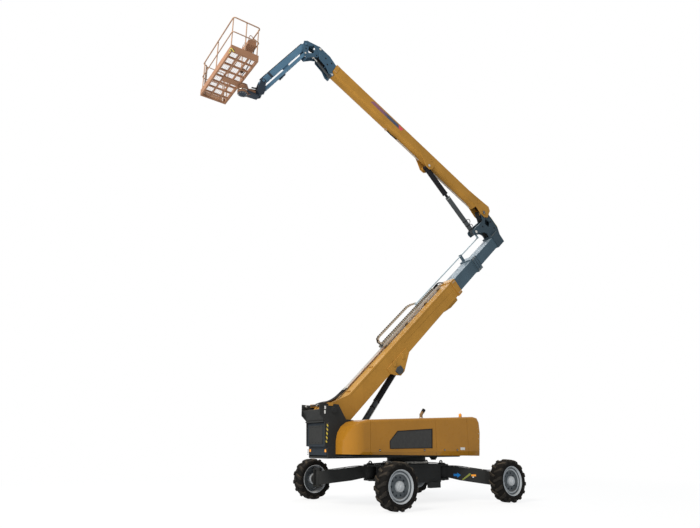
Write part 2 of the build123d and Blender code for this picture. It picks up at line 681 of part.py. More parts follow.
def swept(path, radius):
    return sweep(Plane(origin=path @ 0, z_dir=path % 0) * Circle(radius), path=path)


def make_platform_floor():
    x0, x1 = PLATFORM_X
    y = PLATFORM_HALF
    z1 = DECK_TOP
    z0 = z1 - 60
    floor = block(x0, x1, -y, y, z0, z1) - block(x0 + 45, x1 - 45, -y + 45, y - 45, z0 - 5, z1 + 5)
    for k in range(1, 8):
        at = -y + k * y / 4
        floor += block(x0 + 20, x1 - 20, at - 22, at + 22, z0 + 8, z1 - 4)
    for x in (x0 + 270, x1 - 270):
        floor += block(x - 20, x + 20, -y + 20, y - 20, z0 + 2, z1 - 10)
    toe = block(x0 - 4, x1 + 4, -y - 4, y + 4, z1, z1 + 150) - block(x0, x1, -y, y, z1 - 1, z1 + 151)
    toe -= block(x0 + 90, x1 - 90, y - 20, y + 20, z1 - 1, z1 + 151)
    toe_low = block(x0 - 4, x1 + 4, -y - 4, y + 4, z0, z1 + 4) - block(x0, x1, -y, y, z0 - 1, z1 + 5)
    floor += toe + toe_low
    floor += block(x0 + 250, ROTATOR_X + 90, -110, 110, z0 - 40, z0 + 2)
    floor += post(ROTATOR_X, 0, z0 - 50, z0, 130)
    return floor


def make_platform_rails():
    x0, x1 = PLATFORM_X
    y = PLATFORM_HALF
    rails = swept(rail_path(RAIL_TOP), 19)
    rails += swept(rail_path(RAIL_TOP - 500), 16)
    spots = [(x, side) for x in (x0 + 20, x1 - 20) for side in (-y + 75, 0, y - 75)]
    spots += [(x0 + 90, y - 20), (x1 - 90, y - 20), ((x0 + x1) / 2, -y + 20)]
    for px, py in spots:
        rails += post(px, py, DECK_TOP + 2, RAIL_TOP, 17)
    return rails


def make_gate():
    x0, x1 = PLATFORM_X
    y = PLATFORM_HALF
    gate = None
    for z in (RAIL_TOP - 40, RAIL_TOP - 500, DECK_TOP + 130):
        piece = bar((x0 + 122, y, z), (x1 - 122, y, z), 14)
        gate = piece if gate is None else gate + piece
    for x in (x0 + 130, x1 - 130):
        gate += post(x, y, DECK_TOP + 40, RAIL_TOP - 30, 14)
    gate += block(x0 + 130, x1 - 130, y - 3, y + 3, DECK_TOP + 20, DECK_TOP + 150)
    return gate


def make_control_box():
    x1 = PLATFORM_X[1]
    y = PLATFORM_HALF
    box = slab(
        [(x1 - 40, DECK_TOP + 520), (x1 - 40, DECK_TOP + 760),
        (x1 - 130, DECK_TOP + 790), (x1 - 300, DECK_TOP + 640),
         (x1 - 300, DECK_TOP + 520)],
        -y + 120, -y + 640,
    )
    box += bar((x1 - 60, -y + 180, DECK_TOP + 570), (x1 - 16.5, -y + 180, DECK_TOP + 570), 12)
    return box


def make_lanyards():
    x0, x1 = PLATFORM_X
    plate = sheet_z([(0, -45), (70, -30), (70, 30), (0, 45)], -6, 6) - post(38, 0, -10, 10, 16)
    return Pos(x0 + 0.2, -500, DECK_TOP + 60) * plate + Pos(x0 + 0.2, 500, DECK_TOP + 60) * plate


# ---------------------------------------------------------------- assembly
def place_corner(sx, sy):
    """The leg's angle and length for one corner."""
    dx = sx * (WHEEL_X - LEG_PIN_X)
    dy = sy * (KINGPIN_Y - LEG_PIN_Y)
    return math.degrees(math.atan2(dy, dx)), math.hypot(dx, dy)


def build():
    parts = {}
    parts["chassis_frame"] = make_chassis()
    parts["tie_down_eyes"] = make_tie_downs()
    tyre = make_tyre()
    rim = make_rim()
    knuckle = make_knuckle()
    for name, sx, sy in SIDES:
        angle, length = place_corner(sx, sy)
        turn = 0 if sy < 0 else 180
        parts["leg_" + name] = Pos(sx * LEG_PIN_X, sy * LEG_PIN_Y, 0) * Rot(0, 0, angle) * make_leg(length)
        parts["knuckle_" + name] = Pos(sx * WHEEL_X, sy * KINGPIN_Y, 0) * Rot(0, 0, turn) * knuckle
        parts["rim_" + name] = Pos(sx * WHEEL_X, sy * WHEEL_Y, TYRE_R) * Rot(0, 0, turn) * rim
        parts["tyre_" + name] = Pos(sx * WHEEL_X, sy * WHEEL_Y, TYRE_R) * Rot(0, 0, turn) * tyre
    parts["turntable_frame"] = make_turntable()
    parts["counterweight"] = make_counterweight()
    parts["engine_block"] = block(-1500, -500, -1120, -560, 1275, 1900)
    parts["exhaust_pipe"] = make_exhaust()
    parts["beacon"] = make_beacon()
    hood = make_hood()
    a, b, c = DOOR_SEAMS
    g = DOOR_GAP / 2
    ends = hood_piece(hood, -3000, a - g) + hood_piece(hood, c + g, 2100)
    doors = {"rear": hood_piece(hood, a + g, b - g), "front": hood_piece(hood, b + g, c - g)}
    doors["rear"] -= post(*EXHAUST_AT, 2100, 2500, EXHAUST_R + 1)
    parts["hood_right"] = ends - post(*BEACON_AT, 2300, 2400, BEACON_R + 0.5)
    parts["hood_left"] = mirror(ends, Plane.XZ)
    for end, door in doors.items():
        parts["hood_door_right_" + end] = door
        parts["hood_door_left_" + end] = mirror(door, Plane.XZ)
    parts["lower_boom_base"] = make_lower_base()
    parts["lower_boom_mid"] = make_lower_mid()
    parts["lower_boom_inner"] = make_lower_inner()
    parts["elbow_bracket"] = make_elbow()
    parts["hose_tray"] = make_hose_tray()
    parts["drag_chain"] = make_drag_chain()
    parts["push_tube"] = make_push_tube()
    rod, barrel = make_cylinder(LOWER_LUG_AT, CYL_BASE, 1790, 1740, 1190, (94, 82, 52), 98, 95, (50.5, 0))
    parts["lower_cylinder_rod"] = rod
    parts["lower_cylinder_barrel"] = barrel
    parts["upper_boom_base"] = make_upper_base()
    parts["upper_boom_mid"] = make_upper_mid()
    parts["upper_boom_inner"] = make_upper_inner()
    rod, barrel = make_cylinder(UPPER_LUG_AT, FOOT_AT, 1840, 1730, 1260, (99, 90, 50), 68, 92, (40.5, 0))
    parts["upper_cylinder_rod"] = rod
    parts["upper_cylinder_barrel"] = barrel
    parts["jib_mount"] = make_jib_mount()
    rod, barrel = make_cylinder(LEVEL_EYE_AT, LEVEL_FOOT_AT, 625, 650, 0, (0, 38, 21), 40, 50, (0, 24.5))
    parts["level_cylinder_rod"] = rod
    parts["level_cylinder_barrel"] = barrel
    parts["jib_beam"] = make_jib_beam()
    parts["jib_link"] = make_jib_link()
    parts["platform_support"] = make_platform_support()
    parts["platform_floor"] = make_platform_floor()
    parts["platform_rails"] = make_platform_rails()
    parts["platform_gate"] = make_gate()
    parts["control_box"] = make_control_box()
    parts["lanyard_anchors"] = make_lanyards()
    return parts


def shift_of(parts):
    """The move that puts the middle of the whole object's base at the origin."""
    boxes = [piece.bounding_box() for piece in parts.values()]
    low = [min(getattr(b.min, k) for b in boxes) for k in "XYZ"]
    high = [max(getattr(b.max, k) for b in boxes) for k in "XYZ"]
    return (-(low[0] + high[0]) / 2, -(low[1] + high[1]) / 2, -low[2])


def main():
    os.makedirs("parts", exist_ok=True)
    parts = build()
    shift = shift_of(parts)
    for name, piece in parts.items():
        export_step(Pos(*shift) * piece, os.path.join("parts", name + ".step"))
    print(len(parts), "parts, shifted by", [round(v, 2) for v in shift])


if __name__ == "__main__":
    main()
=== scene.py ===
"""The looks of an articulating boom lift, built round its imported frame."""

import json
import math

import bmesh
import bpy
from bpy.props import FloatProperty, FloatVectorProperty, IntProperty, PointerProperty
from mathutils import Matrix, Vector


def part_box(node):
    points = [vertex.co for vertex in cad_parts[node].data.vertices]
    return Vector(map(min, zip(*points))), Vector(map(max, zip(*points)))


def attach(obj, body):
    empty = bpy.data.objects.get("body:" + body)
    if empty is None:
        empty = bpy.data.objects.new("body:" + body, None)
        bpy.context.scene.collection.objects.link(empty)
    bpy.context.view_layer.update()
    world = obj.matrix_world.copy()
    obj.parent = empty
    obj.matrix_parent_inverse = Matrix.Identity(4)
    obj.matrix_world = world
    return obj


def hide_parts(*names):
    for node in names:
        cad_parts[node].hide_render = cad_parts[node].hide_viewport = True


bl_info = {
    "name": "Articulating Boom Lift",
    "version": (1, 0, 0),
    "blender": (4, 5, 0),
    "location": "View3D > Sidebar > Boom Lift",
    "description": "Dresses the packed boom lift with its paint, tyres, hoses and fittings",
    "category": "Object",
}

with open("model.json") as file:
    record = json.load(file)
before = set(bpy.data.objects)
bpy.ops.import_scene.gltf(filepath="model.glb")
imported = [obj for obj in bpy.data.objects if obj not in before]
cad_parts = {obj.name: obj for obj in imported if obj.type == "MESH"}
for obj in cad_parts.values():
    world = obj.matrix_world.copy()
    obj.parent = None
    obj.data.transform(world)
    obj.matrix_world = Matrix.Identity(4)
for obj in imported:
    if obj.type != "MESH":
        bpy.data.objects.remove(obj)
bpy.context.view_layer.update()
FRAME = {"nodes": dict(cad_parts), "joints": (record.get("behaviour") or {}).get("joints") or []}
JOINTS = {joint["name"]: joint for joint in FRAME["joints"]}
# From the middle of each plated member to its outer face, and how far a plate stands off it.
LEG_WALL = 0.130
TOWER_WALL = 0.490
BASE_WALL = 0.280
UPPER_WALL = 0.170
PLATE_PROUD = 0.003
CORNERS = {"front_right": (1, -1), "front_left": (1, 1), "rear_right": (-1, -1), "rear_left": (-1, 1)}


# ------------------------------------------------------------------ places
def at_joint(name):
    return Vector(JOINTS[name]["pos_m"])


def local_frame(origin, along, across):
    """Local x runs along, y across and z square to both."""
    along = Vector(along).normalized()
    across = Vector(across).normalized()
    place = Matrix((along, across, along.cross(across))).transposed().to_4x4()
    place.translation = origin
    return place


SLEW = Vector((at_joint("slew").x, at_joint("slew").y, 0))
GROUND = Matrix.Translation(SLEW)
LOWER = local_frame(at_joint("lower_luff"), JOINTS["lower_boom_extend"]["axis"], (0, 1, 0))
UPPER = local_frame(at_joint("upper_luff"), JOINTS["upper_boom_extend"]["axis"], (0, -1, 0))
JIB = local_frame(at_joint("jib_luff"), at_joint("platform_support_level") - at_joint("jib_luff"), (0, -1, 0))


def outward(side, near, far):
    """Two distances from the middle on one side, in rising order."""
    return sorted((side * near, side * far))


def leg_frame(corner):
    """A leg's own frame: x from its pin to its kingpin, z up."""
    pin, kingpin = at_joint("leg_swing_" + corner), at_joint("steer_" + corner)
    along = Vector((kingpin.x - pin.x, kingpin.y - pin.y, 0)).normalized()
    return local_frame(Vector((pin.x, pin.y, 0)), along, Vector((0, 0, 1)).cross(along))


def wheel_frame(corner):
    """A wheel's own frame: y points out of its outer face."""
    side = CORNERS[corner][1]
    return local_frame(at_joint("wheel_" + corner), (side, 0, 0), (0, side, 0))


# ------------------------------------------------------------------ finishes
def shade(material, kind, **sockets):
    """Adds a shader node and sets its sockets, by value or by link."""
    node = material.node_tree.nodes.new(kind)
    for name, value in sockets.items():
        put(material, node, name.replace("_", " "), value)
    return node


def put(material, node, name, value):
    socket = node.inputs[int(name)] if name.isdigit() else node.inputs[name]
    if isinstance(value, bpy.types.NodeSocket):
        material.node_tree.links.new(value, socket)
    else:
        socket.default_value = value


def noise(material, scale, detail=4, stretch=(1, 1, 1)):
    """Noise on the piece's own coordinates, as a value from 0 to 1."""
    place = shade(material, "ShaderNodeTexCoord").outputs["Object"]
    if stretch != (1, 1, 1):
        place = shade(material, "ShaderNodeMapping", Vector=place, Scale=stretch).outputs[0]
    return shade(material, "ShaderNodeTexNoise", Vector=place, Scale=scale, Detail=detail).outputs["Fac"]


def span(material, value, low, high, to_low=0.0, to_high=1.0):
    node = shade(material, "ShaderNodeMapRange", Value=value)
    for name, number in (("From Min", low), ("From Max", high), ("To Min", to_low), ("To Max", to_high)):
        node.inputs[name].default_value = number
    return node.outputs[0]


def times(material, a, b):
    node = shade(material, "ShaderNodeMath", **{"0": a, "1": b})
    node.operation = "MULTIPLY"
    return node.outputs[0]


def blend_colour(material, share, first, second):
    node = material.node_tree.nodes.new("ShaderNodeMix")
    node.data_type = "RGBA"
    for socket, value in ((node.inputs["Factor"], share), (node.inputs[6], first), (node.inputs[7], second)):
        if isinstance(value, bpy.types.NodeSocket):
            material.node_tree.links.new(value, socket)
        else:
            socket.default_value = value if isinstance(value, float) else (*value[:3], 1)
    return node.outputs[2]


def facing_up(material):
    """1 where the surface looks up, 0 where it stands or looks down."""
    normal = shade(material, "ShaderNodeNewGeometry").outputs["Normal"]
    return span(material, shade(material, "ShaderNodeSeparateXYZ", Vector=normal).outputs["Z"], 0.35, 0.95)


def new_finish(name):
    """A material and its body shader."""
    material = bpy.data.materials.new(name)
    material.use_nodes = True
    return material, material.node_tree.nodes["Principled BSDF"]


def finish_of(name, colour, rough, metal=0.0, coat=0.0, dust=0.25, dust_and_highlight_colour=(0.30, 0.24, 0.17),
              grain=160, relief=0.02, drift=0.10, streaks=0.0, polish=0.30, shine=0.06):
    """A finish with drifting tone, dust on ledges, fine grain and faint runs; where the dust colour is a pale
    tint of the paint, the ledges carry a painted highlight.
    """
    material, body = new_finish(name)
    patches = span(material, noise(material, 1.4, 5), 0.35, 0.68)
    darker = [c * (1 - drift) for c in colour]
    lighter = [min(1, c * (1 + drift)) for c in colour]
    tone = blend_colour(material, patches, darker, lighter)
    if streaks:
        runs = span(material, noise(material, 9, 3, (1, 1, 0.08)), 0.56, 0.74, 0, streaks)
        tone = blend_colour(material, runs, tone, [c * 0.45 for c in colour])
    specks = span(material, noise(material, 34, 6), 0.60, 0.72)
    # Up-facing faces take the dust colour: real dust on most finishes, a painted highlight where that colour
    # is a pale tint of the paint.
    ledge_dust_and_highlight = times(material, facing_up(material), span(material, noise(material, 5, 6), 0.35, 0.65, 0.25, 1))
    settled_dust_and_highlight = times(material, ledge_dust_and_highlight, dust)
    tone = blend_colour(material, settled_dust_and_highlight, tone, dust_and_highlight_colour)
    tone = blend_colour(material, times(material, specks, min(dust, 0.16) * 0.35), tone, dust_and_highlight_colour)
    put(material, body, "Base Color", tone)
    put(material, body, "Roughness", span(material, noise(material, 11, 5), 0.3, 0.7, rough - 0.06,
                                          rough + 0.10))
    put(material, body, "Metallic", metal)
    put(material, body, "Coat Weight", coat)
    put(material, body, "Coat Roughness", polish)
    put(material, body, "Specular IOR Level", shine)
    bump = shade(material, "ShaderNodeBump", Strength=relief, Distance=0.0008,
                 Height=noise(material, grain, 3))
    put(material, body, "Normal", bump.outputs[0])
    material.diffuse_color = (*colour, 1)
    return material


def tread_rubber(name, colour, dust_and_highlight_colour, dust):
    """Black rubber with dry dust in its grain and on its up-facing faces; on the tread lugs that dust is
    partly a painted highlight.
    """
    return finish_of(name, colour, 0.78, dust=dust, dust_and_highlight_colour=dust_and_highlight_colour, grain=190, relief=0.35)


def hazard_tape(name, pitch, first, second):
    """Slanting stripes of two colours."""
    material, body = new_finish(name)
    place = shade(material, "ShaderNodeTexCoord").outputs["Object"]
    parts = shade(material, "ShaderNodeSeparateXYZ", Vector=place)
    total = shade(material, "ShaderNodeMath", **{"0": parts.outputs["X"], "1": parts.outputs["Z"]})
    wave = shade(material, "ShaderNodeMath", **{"0": times(material, total.outputs[0], 1 / pitch)})
    wave.operation = "FRACT"
    stripe = span(material, wave.outputs[0], 0.48, 0.52)
    worn = span(material, noise(material, 40, 5), 0.66, 0.72, 0, 0.6)
    tone = blend_colour(material, worn, blend_colour(material, stripe, first, second), (0.12, 0.11, 0.1))
    put(material, body, "Base Color", tone)
    put(material, body, "Roughness", span(material, noise(material, 60, 3), 0.3, 0.7, 0.35, 0.55))
    return material


def fading_band(name, stops, low, high):
    """A band whose colour changes along the upper boom, given as (share of its length, colour)."""
    material, body = new_finish(name)
    place = shade(material, "ShaderNodeTexCoord").outputs["Object"]
    x = shade(material, "ShaderNodeSeparateXYZ", Vector=place).outputs["X"]
    ramp = material.node_tree.nodes.new("ShaderNodeValToRGB")
    put(material, ramp, "Fac", span(material, x, low, high))
    ramp.color_ramp.elements.remove(ramp.color_ramp.elements[0])
    for i, (share, colour) in enumerate(stops):
        stop = ramp.color_ramp.elements[0] if i == 0 else ramp.color_ramp.elements.new(share)
        stop.position = share
        stop.color = (*colour, 1)
    scuffs = span(material, noise(material, 55, 6), 0.62, 0.7, 0, 0.35)
    put(material, body, "Base Color", blend_colour(material, scuffs, ramp.outputs["Color"], (0.3, 0.2, 0.12)))
    put(material, body, "Roughness", span(material, noise(material, 40, 3), 0.3, 0.7, 0.3, 0.5))
    return material


FINISH = {}
BAND_FOOT, BAND_TIP = 4.56, 6.15    # reach of the fading band along the upper boom


def mix_finishes(settings):
    """Every finish on the machine, by its plain name."""
    yellow = list(settings.boom_yellow)
    hood = list(settings.hood_yellow)
    slate = list(settings.section_slate)
    FINISH.update(
        # On the boom the dust share lays a pale tint of its own yellow on the up-facing faces: a painted
        # highlight.
        boom=finish_of("boom enamel", yellow, 0.42, dust=0.40, dust_and_highlight_colour=(0.62, 0.43, 0.19), streaks=0.10),
        hood=finish_of("hood enamel", hood, 0.30, coat=0.3, dust=0.02, streaks=0.05, polish=0.08, drift=0.05),
        # On the inner sections the dust share lays pale blue-grey on the up-facing faces: a painted
        # highlight.
        slate=finish_of("section enamel", slate, 0.42, dust=0.62, streaks=0.12,
                        dust_and_highlight_colour=(0.46, 0.52, 0.57)),
        # The elbow's paint is the section slate darkened: painted shade on the elbow.
        elbow=finish_of("elbow enamel", [c * 0.62 for c in slate], 0.42, dust=0.25, streaks=0.1),
        jib=finish_of("jib enamel", list(settings.jib_slate), 0.40, dust=0.12,
                      dust_and_highlight_colour=(0.30, 0.34, 0.38)),
        black=finish_of("chassis enamel", (0.025, 0.026, 0.026), 0.48, dust=0.14, streaks=0.1),
        panel=finish_of("dark hood panel", (0.026, 0.026, 0.025), 0.25, coat=0.4, dust=0.08),
        platform=finish_of("platform enamel", list(settings.platform_brown), 0.45, dust=0.15, streaks=0.15),
        cylinder=finish_of("barrel enamel", (0.040, 0.046, 0.050), 0.35, coat=0.3, dust=0.15),
        sleeve=finish_of("dust sleeve rubber", (0.012, 0.012, 0.014), 0.6, dust=0.12, relief=0.2),
        zinc=finish_of("zinc plating", (0.50, 0.49, 0.46), 0.34, metal=0.9, dust=0.12, relief=0.05),
        copper=finish_of("coppery line", (0.52, 0.27, 0.15), 0.35, metal=0.7, dust=0.1),
        hose=finish_of("hose rubber", (0.014, 0.014, 0.014), 0.55, dust=0.15, relief=0.3, grain=420),
        iron=finish_of("cast iron paint", (0.020, 0.026, 0.033), 0.5, dust=0.12, relief=0.3, grain=90),
        rim=finish_of("rim enamel", (0.40, 0.425, 0.45), 0.42, coat=0.1, dust=0.22, streaks=0.08),
        # The wheel disc is partly its own darker paint, partly painted shade of the deep dish.
        disc=finish_of("wheel disc enamel", (0.105, 0.118, 0.128), 0.5, dust=0.25),
        # Tan dust on the lugs' up-facing faces: partly dust, partly a painted highlight of the sun on the
        # lugs.
        rubber=tread_rubber("tyre rubber", (0.020, 0.018, 0.016), (0.20, 0.15, 0.10), 0.4),
        wall=tread_rubber("tyre sidewall", (0.008, 0.0075, 0.007), (0.07, 0.055, 0.045), 0.2),
        tan=finish_of("heat-tanned steel", (0.20, 0.12, 0.055), 0.42, metal=0.5, dust=0.1, drift=0.25),
        soot=finish_of("sooty steel", (0.012, 0.011, 0.011), 0.7, dust=0.05),
        seam=finish_of("shadowed seam", (0.15, 0.075, 0.014), 0.6, dust=0.05),
        link=finish_of("dusty chain plate", (0.46, 0.38, 0.29), 0.5, dust=0.1, streaks=0.2),
        tube=finish_of("pale tube enamel", (0.34, 0.42, 0.46), 0.35, coat=0.2, dust=0.08),
        mount=finish_of("mount enamel", [c * 0.55 for c in settings.jib_slate], 0.40, dust=0.08),
        rail=finish_of("rail enamel", (0.36, 0.23, 0.155), 0.42, dust=0.08),
        navy=finish_of("arm enamel", (0.020, 0.030, 0.045), 0.4, coat=0.2, dust=0.1),
        amber=finish_of("amber lens", (0.80, 0.30, 0.02), 0.15, coat=0.6, dust=0.05, relief=0.02),
        white=finish_of("white plate", (0.62, 0.62, 0.60), 0.4, dust=0.1),
        blue=finish_of("blue mark", (0.02, 0.22, 0.62), 0.35, dust=0.08),
        green=finish_of("green-yellow mark", (0.20, 0.22, 0.05), 0.45, dust=0.12),
        hazard=hazard_tape("hazard tape", 0.11, (0.60, 0.46, 0.05), (0.02, 0.02, 0.02)),
        plum=fading_band(
            "fading band",
            ((0.0, (0.23, 0.07, 0.10)), (0.45, (0.15, 0.05, 0.09)), (0.60, (0.02, 0.03, 0.07)),
             (0.93, (0.02, 0.03, 0.07)), (0.96, (0.55, 0.04, 0.05))),
            (UPPER @ Vector((BAND_TIP, 0, 0))).x, (UPPER @ Vector((BAND_FOOT, 0, 0))).x,
        ),
    )


# ------------------------------------------------------------------ mesh building
def new_object(name, data):
    obj = bpy.data.objects.new(name, data)
    bpy.context.scene.collection.objects.link(obj)
    return obj


def applied(obj):
    """A plain mesh of the object with its modifiers applied."""
    bpy.context.view_layer.update()
    return bpy.data.meshes.new_from_object(obj.evaluated_get(bpy.context.evaluated_depsgraph_get()))


class Form:
    """A mesh being built in the row frame; place is the local frame it is drawn in."""

    def __init__(self, place=None):
        self.bm = bmesh.new()
        self.place = place or Matrix.Identity(4)
        self.slot = 0

    def _face(self, verts):
        face = self.bm.faces.new(verts)
        face.material_index = self.slot
        return face

    def _points(self, points):
        return [self.bm.verts.new(self.place @ Vector(p)) for p in points]

    def loft(self, rings, closed=True, capped=True):
        """Skin over rings of equally many points."""
        rows = [self._points(ring) for ring in rings]
        count = len(rows[0])
        for a, b in zip(rows, rows[1:]):
            for i in range(count if closed else count - 1):
                j = (i + 1) % count
                self._face((a[i], a[j], b[j], b[i]))
        if capped:
            self._face(rows[0][::-1])
            self._face(rows[-1])

    def box(self, low, high):
        (x0, y0, z0), (x1, y1, z1) = low, high
        ring = [(x0, y0), (x1, y0), (x1, y1), (x0, y1)]
        self.loft([[(x, y, z) for x, y in ring] for z in (z0, z1)])

    def prism(self, outline, y0, y1):
        """An (x, z) outline carried from y0 to y1."""
        self.loft([[(x, y, z) for x, z in outline] for y in (y0, y1)])

    def turned(self, profile, centre=(0, 0, 0), sides=48, axis="y"):
        """A closed (radius, distance) outline carried round the local axis."""
        rings = []
        for i in range(sides):
            t = 2 * math.pi * i / sides
            c, s = math.cos(t), math.sin(t)
            ring = []
            for r, d in profile:
                spot = {"y": (r * c, d, r * s), "z": (r * c, r * s, d), "x": (d, r * c, r * s)}[axis]
                ring.append(tuple(a + b for a, b in zip(centre, spot)))
            rings.append(ring)
        self.loft(rings + [rings[0]], capped=False)

    def disc(self, centre, radius, depth, axis="y", sides=32):
        """A round plate or pin with softened rims, its middle at centre."""
        h, e = depth / 2, min(radius, depth) * 0.15
        self.turned(
            [(1e-4, -h), (radius - e, -h), (radius, -h + e), (radius, h - e), (radius - e, h), (1e-4, h)],
            centre, sides, axis,
        )

    def rod(self, start, end, radius, sides=16):
        """A straight bar between two local points."""
        start, end = Vector(start), Vector(end)
        along = (end - start).normalized()
        side = along.orthogonal().normalized()
        up = along.cross(side)
        ring = [2 * math.pi * i / sides for i in range(sides)]
        spokes = [radius * (math.cos(t) * side + math.sin(t) * up) for t in ring]
        self.loft([[p + spoke for spoke in spokes] for p in (start, end)])

    def line(self, points, radius, sides=10, smooth=True):
        """A bent line, hose or rail along local points."""
        curve = bpy.data.curves.new("line", "CURVE")
        curve.dimensions = "3D"
        spline = curve.splines.new("NURBS" if smooth else "POLY")
        spline.points.add(len(points) - 1)
        for knot, p in zip(spline.points, points):
            knot.co = (*(self.place @ Vector(p)), 1)
        if smooth:
            spline.order_u = 3
            spline.use_endpoint_u = True
            spline.resolution_u = 6
        curve.bevel_depth = radius
        curve.bevel_resolution = max(1, sides // 4)
        curve.use_fill_caps = True
        obj = new_object("line", curve)
        self.add_mesh(applied(obj))
        bpy.data.objects.remove(obj)

    def add_mesh(self, mesh, place=None):
        before = len(self.bm.faces)
        if place is not None:
            mesh.transform(place)
        self.bm.from_mesh(mesh)
        self.bm.faces.ensure_lookup_table()
        for face in self.bm.faces[before:]:
            face.material_index = self.slot
        bpy.data.meshes.remove(mesh)

    def mesh(self, name="form"):
        bmesh.ops.remove_doubles(self.bm, verts=self.bm.verts, dist=2e-5)
        bmesh.ops.recalc_face_normals(self.bm, faces=self.bm.faces)
        mesh = bpy.data.meshes.new(name)
        self.bm.to_mesh(mesh)
        self.bm.free()
        return mesh

    def piece(self, name, body, finishes, bevel=0.0, crease=35, replaces=()):
        """Ends the form as one piece that rides on a body."""
        mesh = self.mesh(name)
        for finish in finishes:
            mesh.materials.append(FINISH[finish])
        obj = new_object(name, mesh)
        if bevel:
            edge = obj.modifiers.new("edge", "BEVEL")
            edge.width = bevel
            edge.segments = 2
            edge.limit_method = "ANGLE"
            edge.angle_limit = math.radians(40)
            bevelled = applied(obj)
            obj.modifiers.clear()
            obj.data = bevelled
        obj.data.shade_smooth()
        obj.data.set_sharp_from_angle(angle=math.radians(crease))
        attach(obj, body)
        if replaces:
            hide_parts(*replaces)
        return obj


# ------------------------------------------------------------------ repeats by geometry nodes
def new_tree(name, inputs):
    """An empty geometry tree with named inputs; returns it with its two ends."""
    tree = bpy.data.node_groups.new(name, "GeometryNodeTree")
    tree.interface.new_socket("Geometry", in_out="INPUT", socket_type="NodeSocketGeometry")
    for label, kind, value in inputs:
        socket = tree.interface.new_socket(label, in_out="INPUT", socket_type="NodeSocket" + kind)
        if value is not None:
            socket.default_value = value
    tree.interface.new_socket("Geometry", in_out="OUTPUT", socket_type="NodeSocketGeometry")
    return tree, tree.nodes.new("NodeGroupInput"), tree.nodes.new("NodeGroupOutput")


def close_tree(tree, geometry, ends):
    """Realize Instances and Set Material, then the output."""
    realize = tree.nodes.new("GeometryNodeRealizeInstances")
    finish = tree.nodes.new("GeometryNodeSetMaterial")
    tree.links.new(geometry, realize.inputs[0])
    tree.links.new(realize.outputs[0], finish.inputs["Geometry"])
    tree.links.new(ends[0].outputs["Finish"], finish.inputs["Material"])
    tree.links.new(finish.outputs[0], ends[1].inputs[0])


def copies_tree(name, inputs):
    """Count copies of a shape on the points of a line; returns the tree and the ends that differ."""
    tree, start, end = new_tree(name, (("Count", "Int", 8), *inputs, ("Finish", "Material", None)))
    line = tree.nodes.new("GeometryNodeMeshLine")
    copies = tree.nodes.new("GeometryNodeInstanceOnPoints")
    link = tree.links.new
    link(start.outputs["Count"], line.inputs["Count"])
    link(line.outputs[0], copies.inputs["Points"])
    link(start.outputs["Geometry"], copies.inputs["Instance"])
    close_tree(tree, copies.outputs[0], (start, end))
    return tree, start, line, copies


def ring_tree():
    """Copies of a shape turned about the y axis, Count to the whole circle."""
    tree, start, line, copies = copies_tree("ring of copies", ())
    line.inputs["Offset"].default_value = (0, 0, 0)
    index = tree.nodes.new("GeometryNodeInputIndex")
    turn = tree.nodes.new("ShaderNodeMath")
    turn.operation = "DIVIDE"
    angle = tree.nodes.new("ShaderNodeMath")
    angle.operation = "MULTIPLY"
    angle.inputs[1].default_value = 2 * math.pi
    spin = tree.nodes.new("ShaderNodeCombineXYZ")
    link = tree.links.new
    link(index.outputs[0], turn.inputs[0])
    link(start.outputs["Count"], turn.inputs[1])
    link(turn.outputs[0], angle.inputs[0])
    link(angle.outputs[0], spin.inputs["Y"])
    link(spin.outputs[0], copies.inputs["Rotation"])
    return tree


def row_tree():
    """Copies of a shape in a straight row, Step apart."""
    tree, start, line, _ = copies_tree("row of copies", (("Step", "Vector", (0.1, 0, 0)),))
    tree.links.new(start.outputs["Step"], line.inputs["Offset"])
    return tree


def path_tree():
    """Copies of a shape along a curve, Spacing apart, their x along it and z across it."""
    inputs = (("Shape", "Object", None), ("Spacing", "Float", 0.1), ("Finish", "Material", None))
    tree, start, end = new_tree("copies along a path", inputs)
    steps = tree.nodes.new("GeometryNodeResampleCurve")
    steps.mode = "LENGTH"
    shape = tree.nodes.new("GeometryNodeObjectInfo")
    tangent = tree.nodes.new("GeometryNodeInputTangent")
    aim = tree.nodes.new("FunctionNodeAxesToRotation")
    aim.primary_axis = "X"
    aim.secondary_axis = "Y"
    aim.inputs["Secondary Axis"].default_value = (0, 1, 0)
    copies = tree.nodes.new("GeometryNodeInstanceOnPoints")
    link = tree.links.new
    link(start.outputs["Geometry"], steps.inputs["Curve"])
    link(start.outputs["Spacing"], steps.inputs["Length"])
    link(start.outputs["Shape"], shape.inputs["Object"])
    link(tangent.outputs[0], aim.inputs["Primary Axis"])
    link(aim.outputs[0], copies.inputs["Rotation"])
    link(steps.outputs[0], copies.inputs["Points"])
    link(shape.outputs["Geometry"], copies.inputs["Instance"])
    close_tree(tree, copies.outputs[0], (start, end))
    return tree


TREES = {}


def grown(base, kind, **values):
    """The plain mesh that a tree makes from an object; the object is removed."""
    if kind not in TREES:
        TREES[kind] = {"ring": ring_tree, "row": row_tree, "path": path_tree}[kind]()
    tree = TREES[kind]
    grow = base.modifiers.new("grow", "NODES")
    grow.node_group = tree
    sockets = {s.name: s.identifier for s in tree.interface.items_tree if s.in_out == "INPUT"}
    for name, value in values.items():
        grow[sockets[name]] = value
    mesh = applied(base)
    bpy.data.objects.remove(base)
    return mesh


def ring_of(form, shape, count, place, finish):
    """Adds a ring of a shape to the form; the shape is drawn round the y axis of place."""
    form.add_mesh(grown(new_object("ring", shape.mesh()), "ring", Count=count, Finish=FINISH[finish]), place)


def row_of(form, shape, count, step, place, finish):
    form.add_mesh(grown(new_object("row", shape.mesh()), "row", Count=count, Step=step,
                        Finish=FINISH[finish]), place)


BOLT_HEAD = 0.75    # height of a bolt head, in its radius


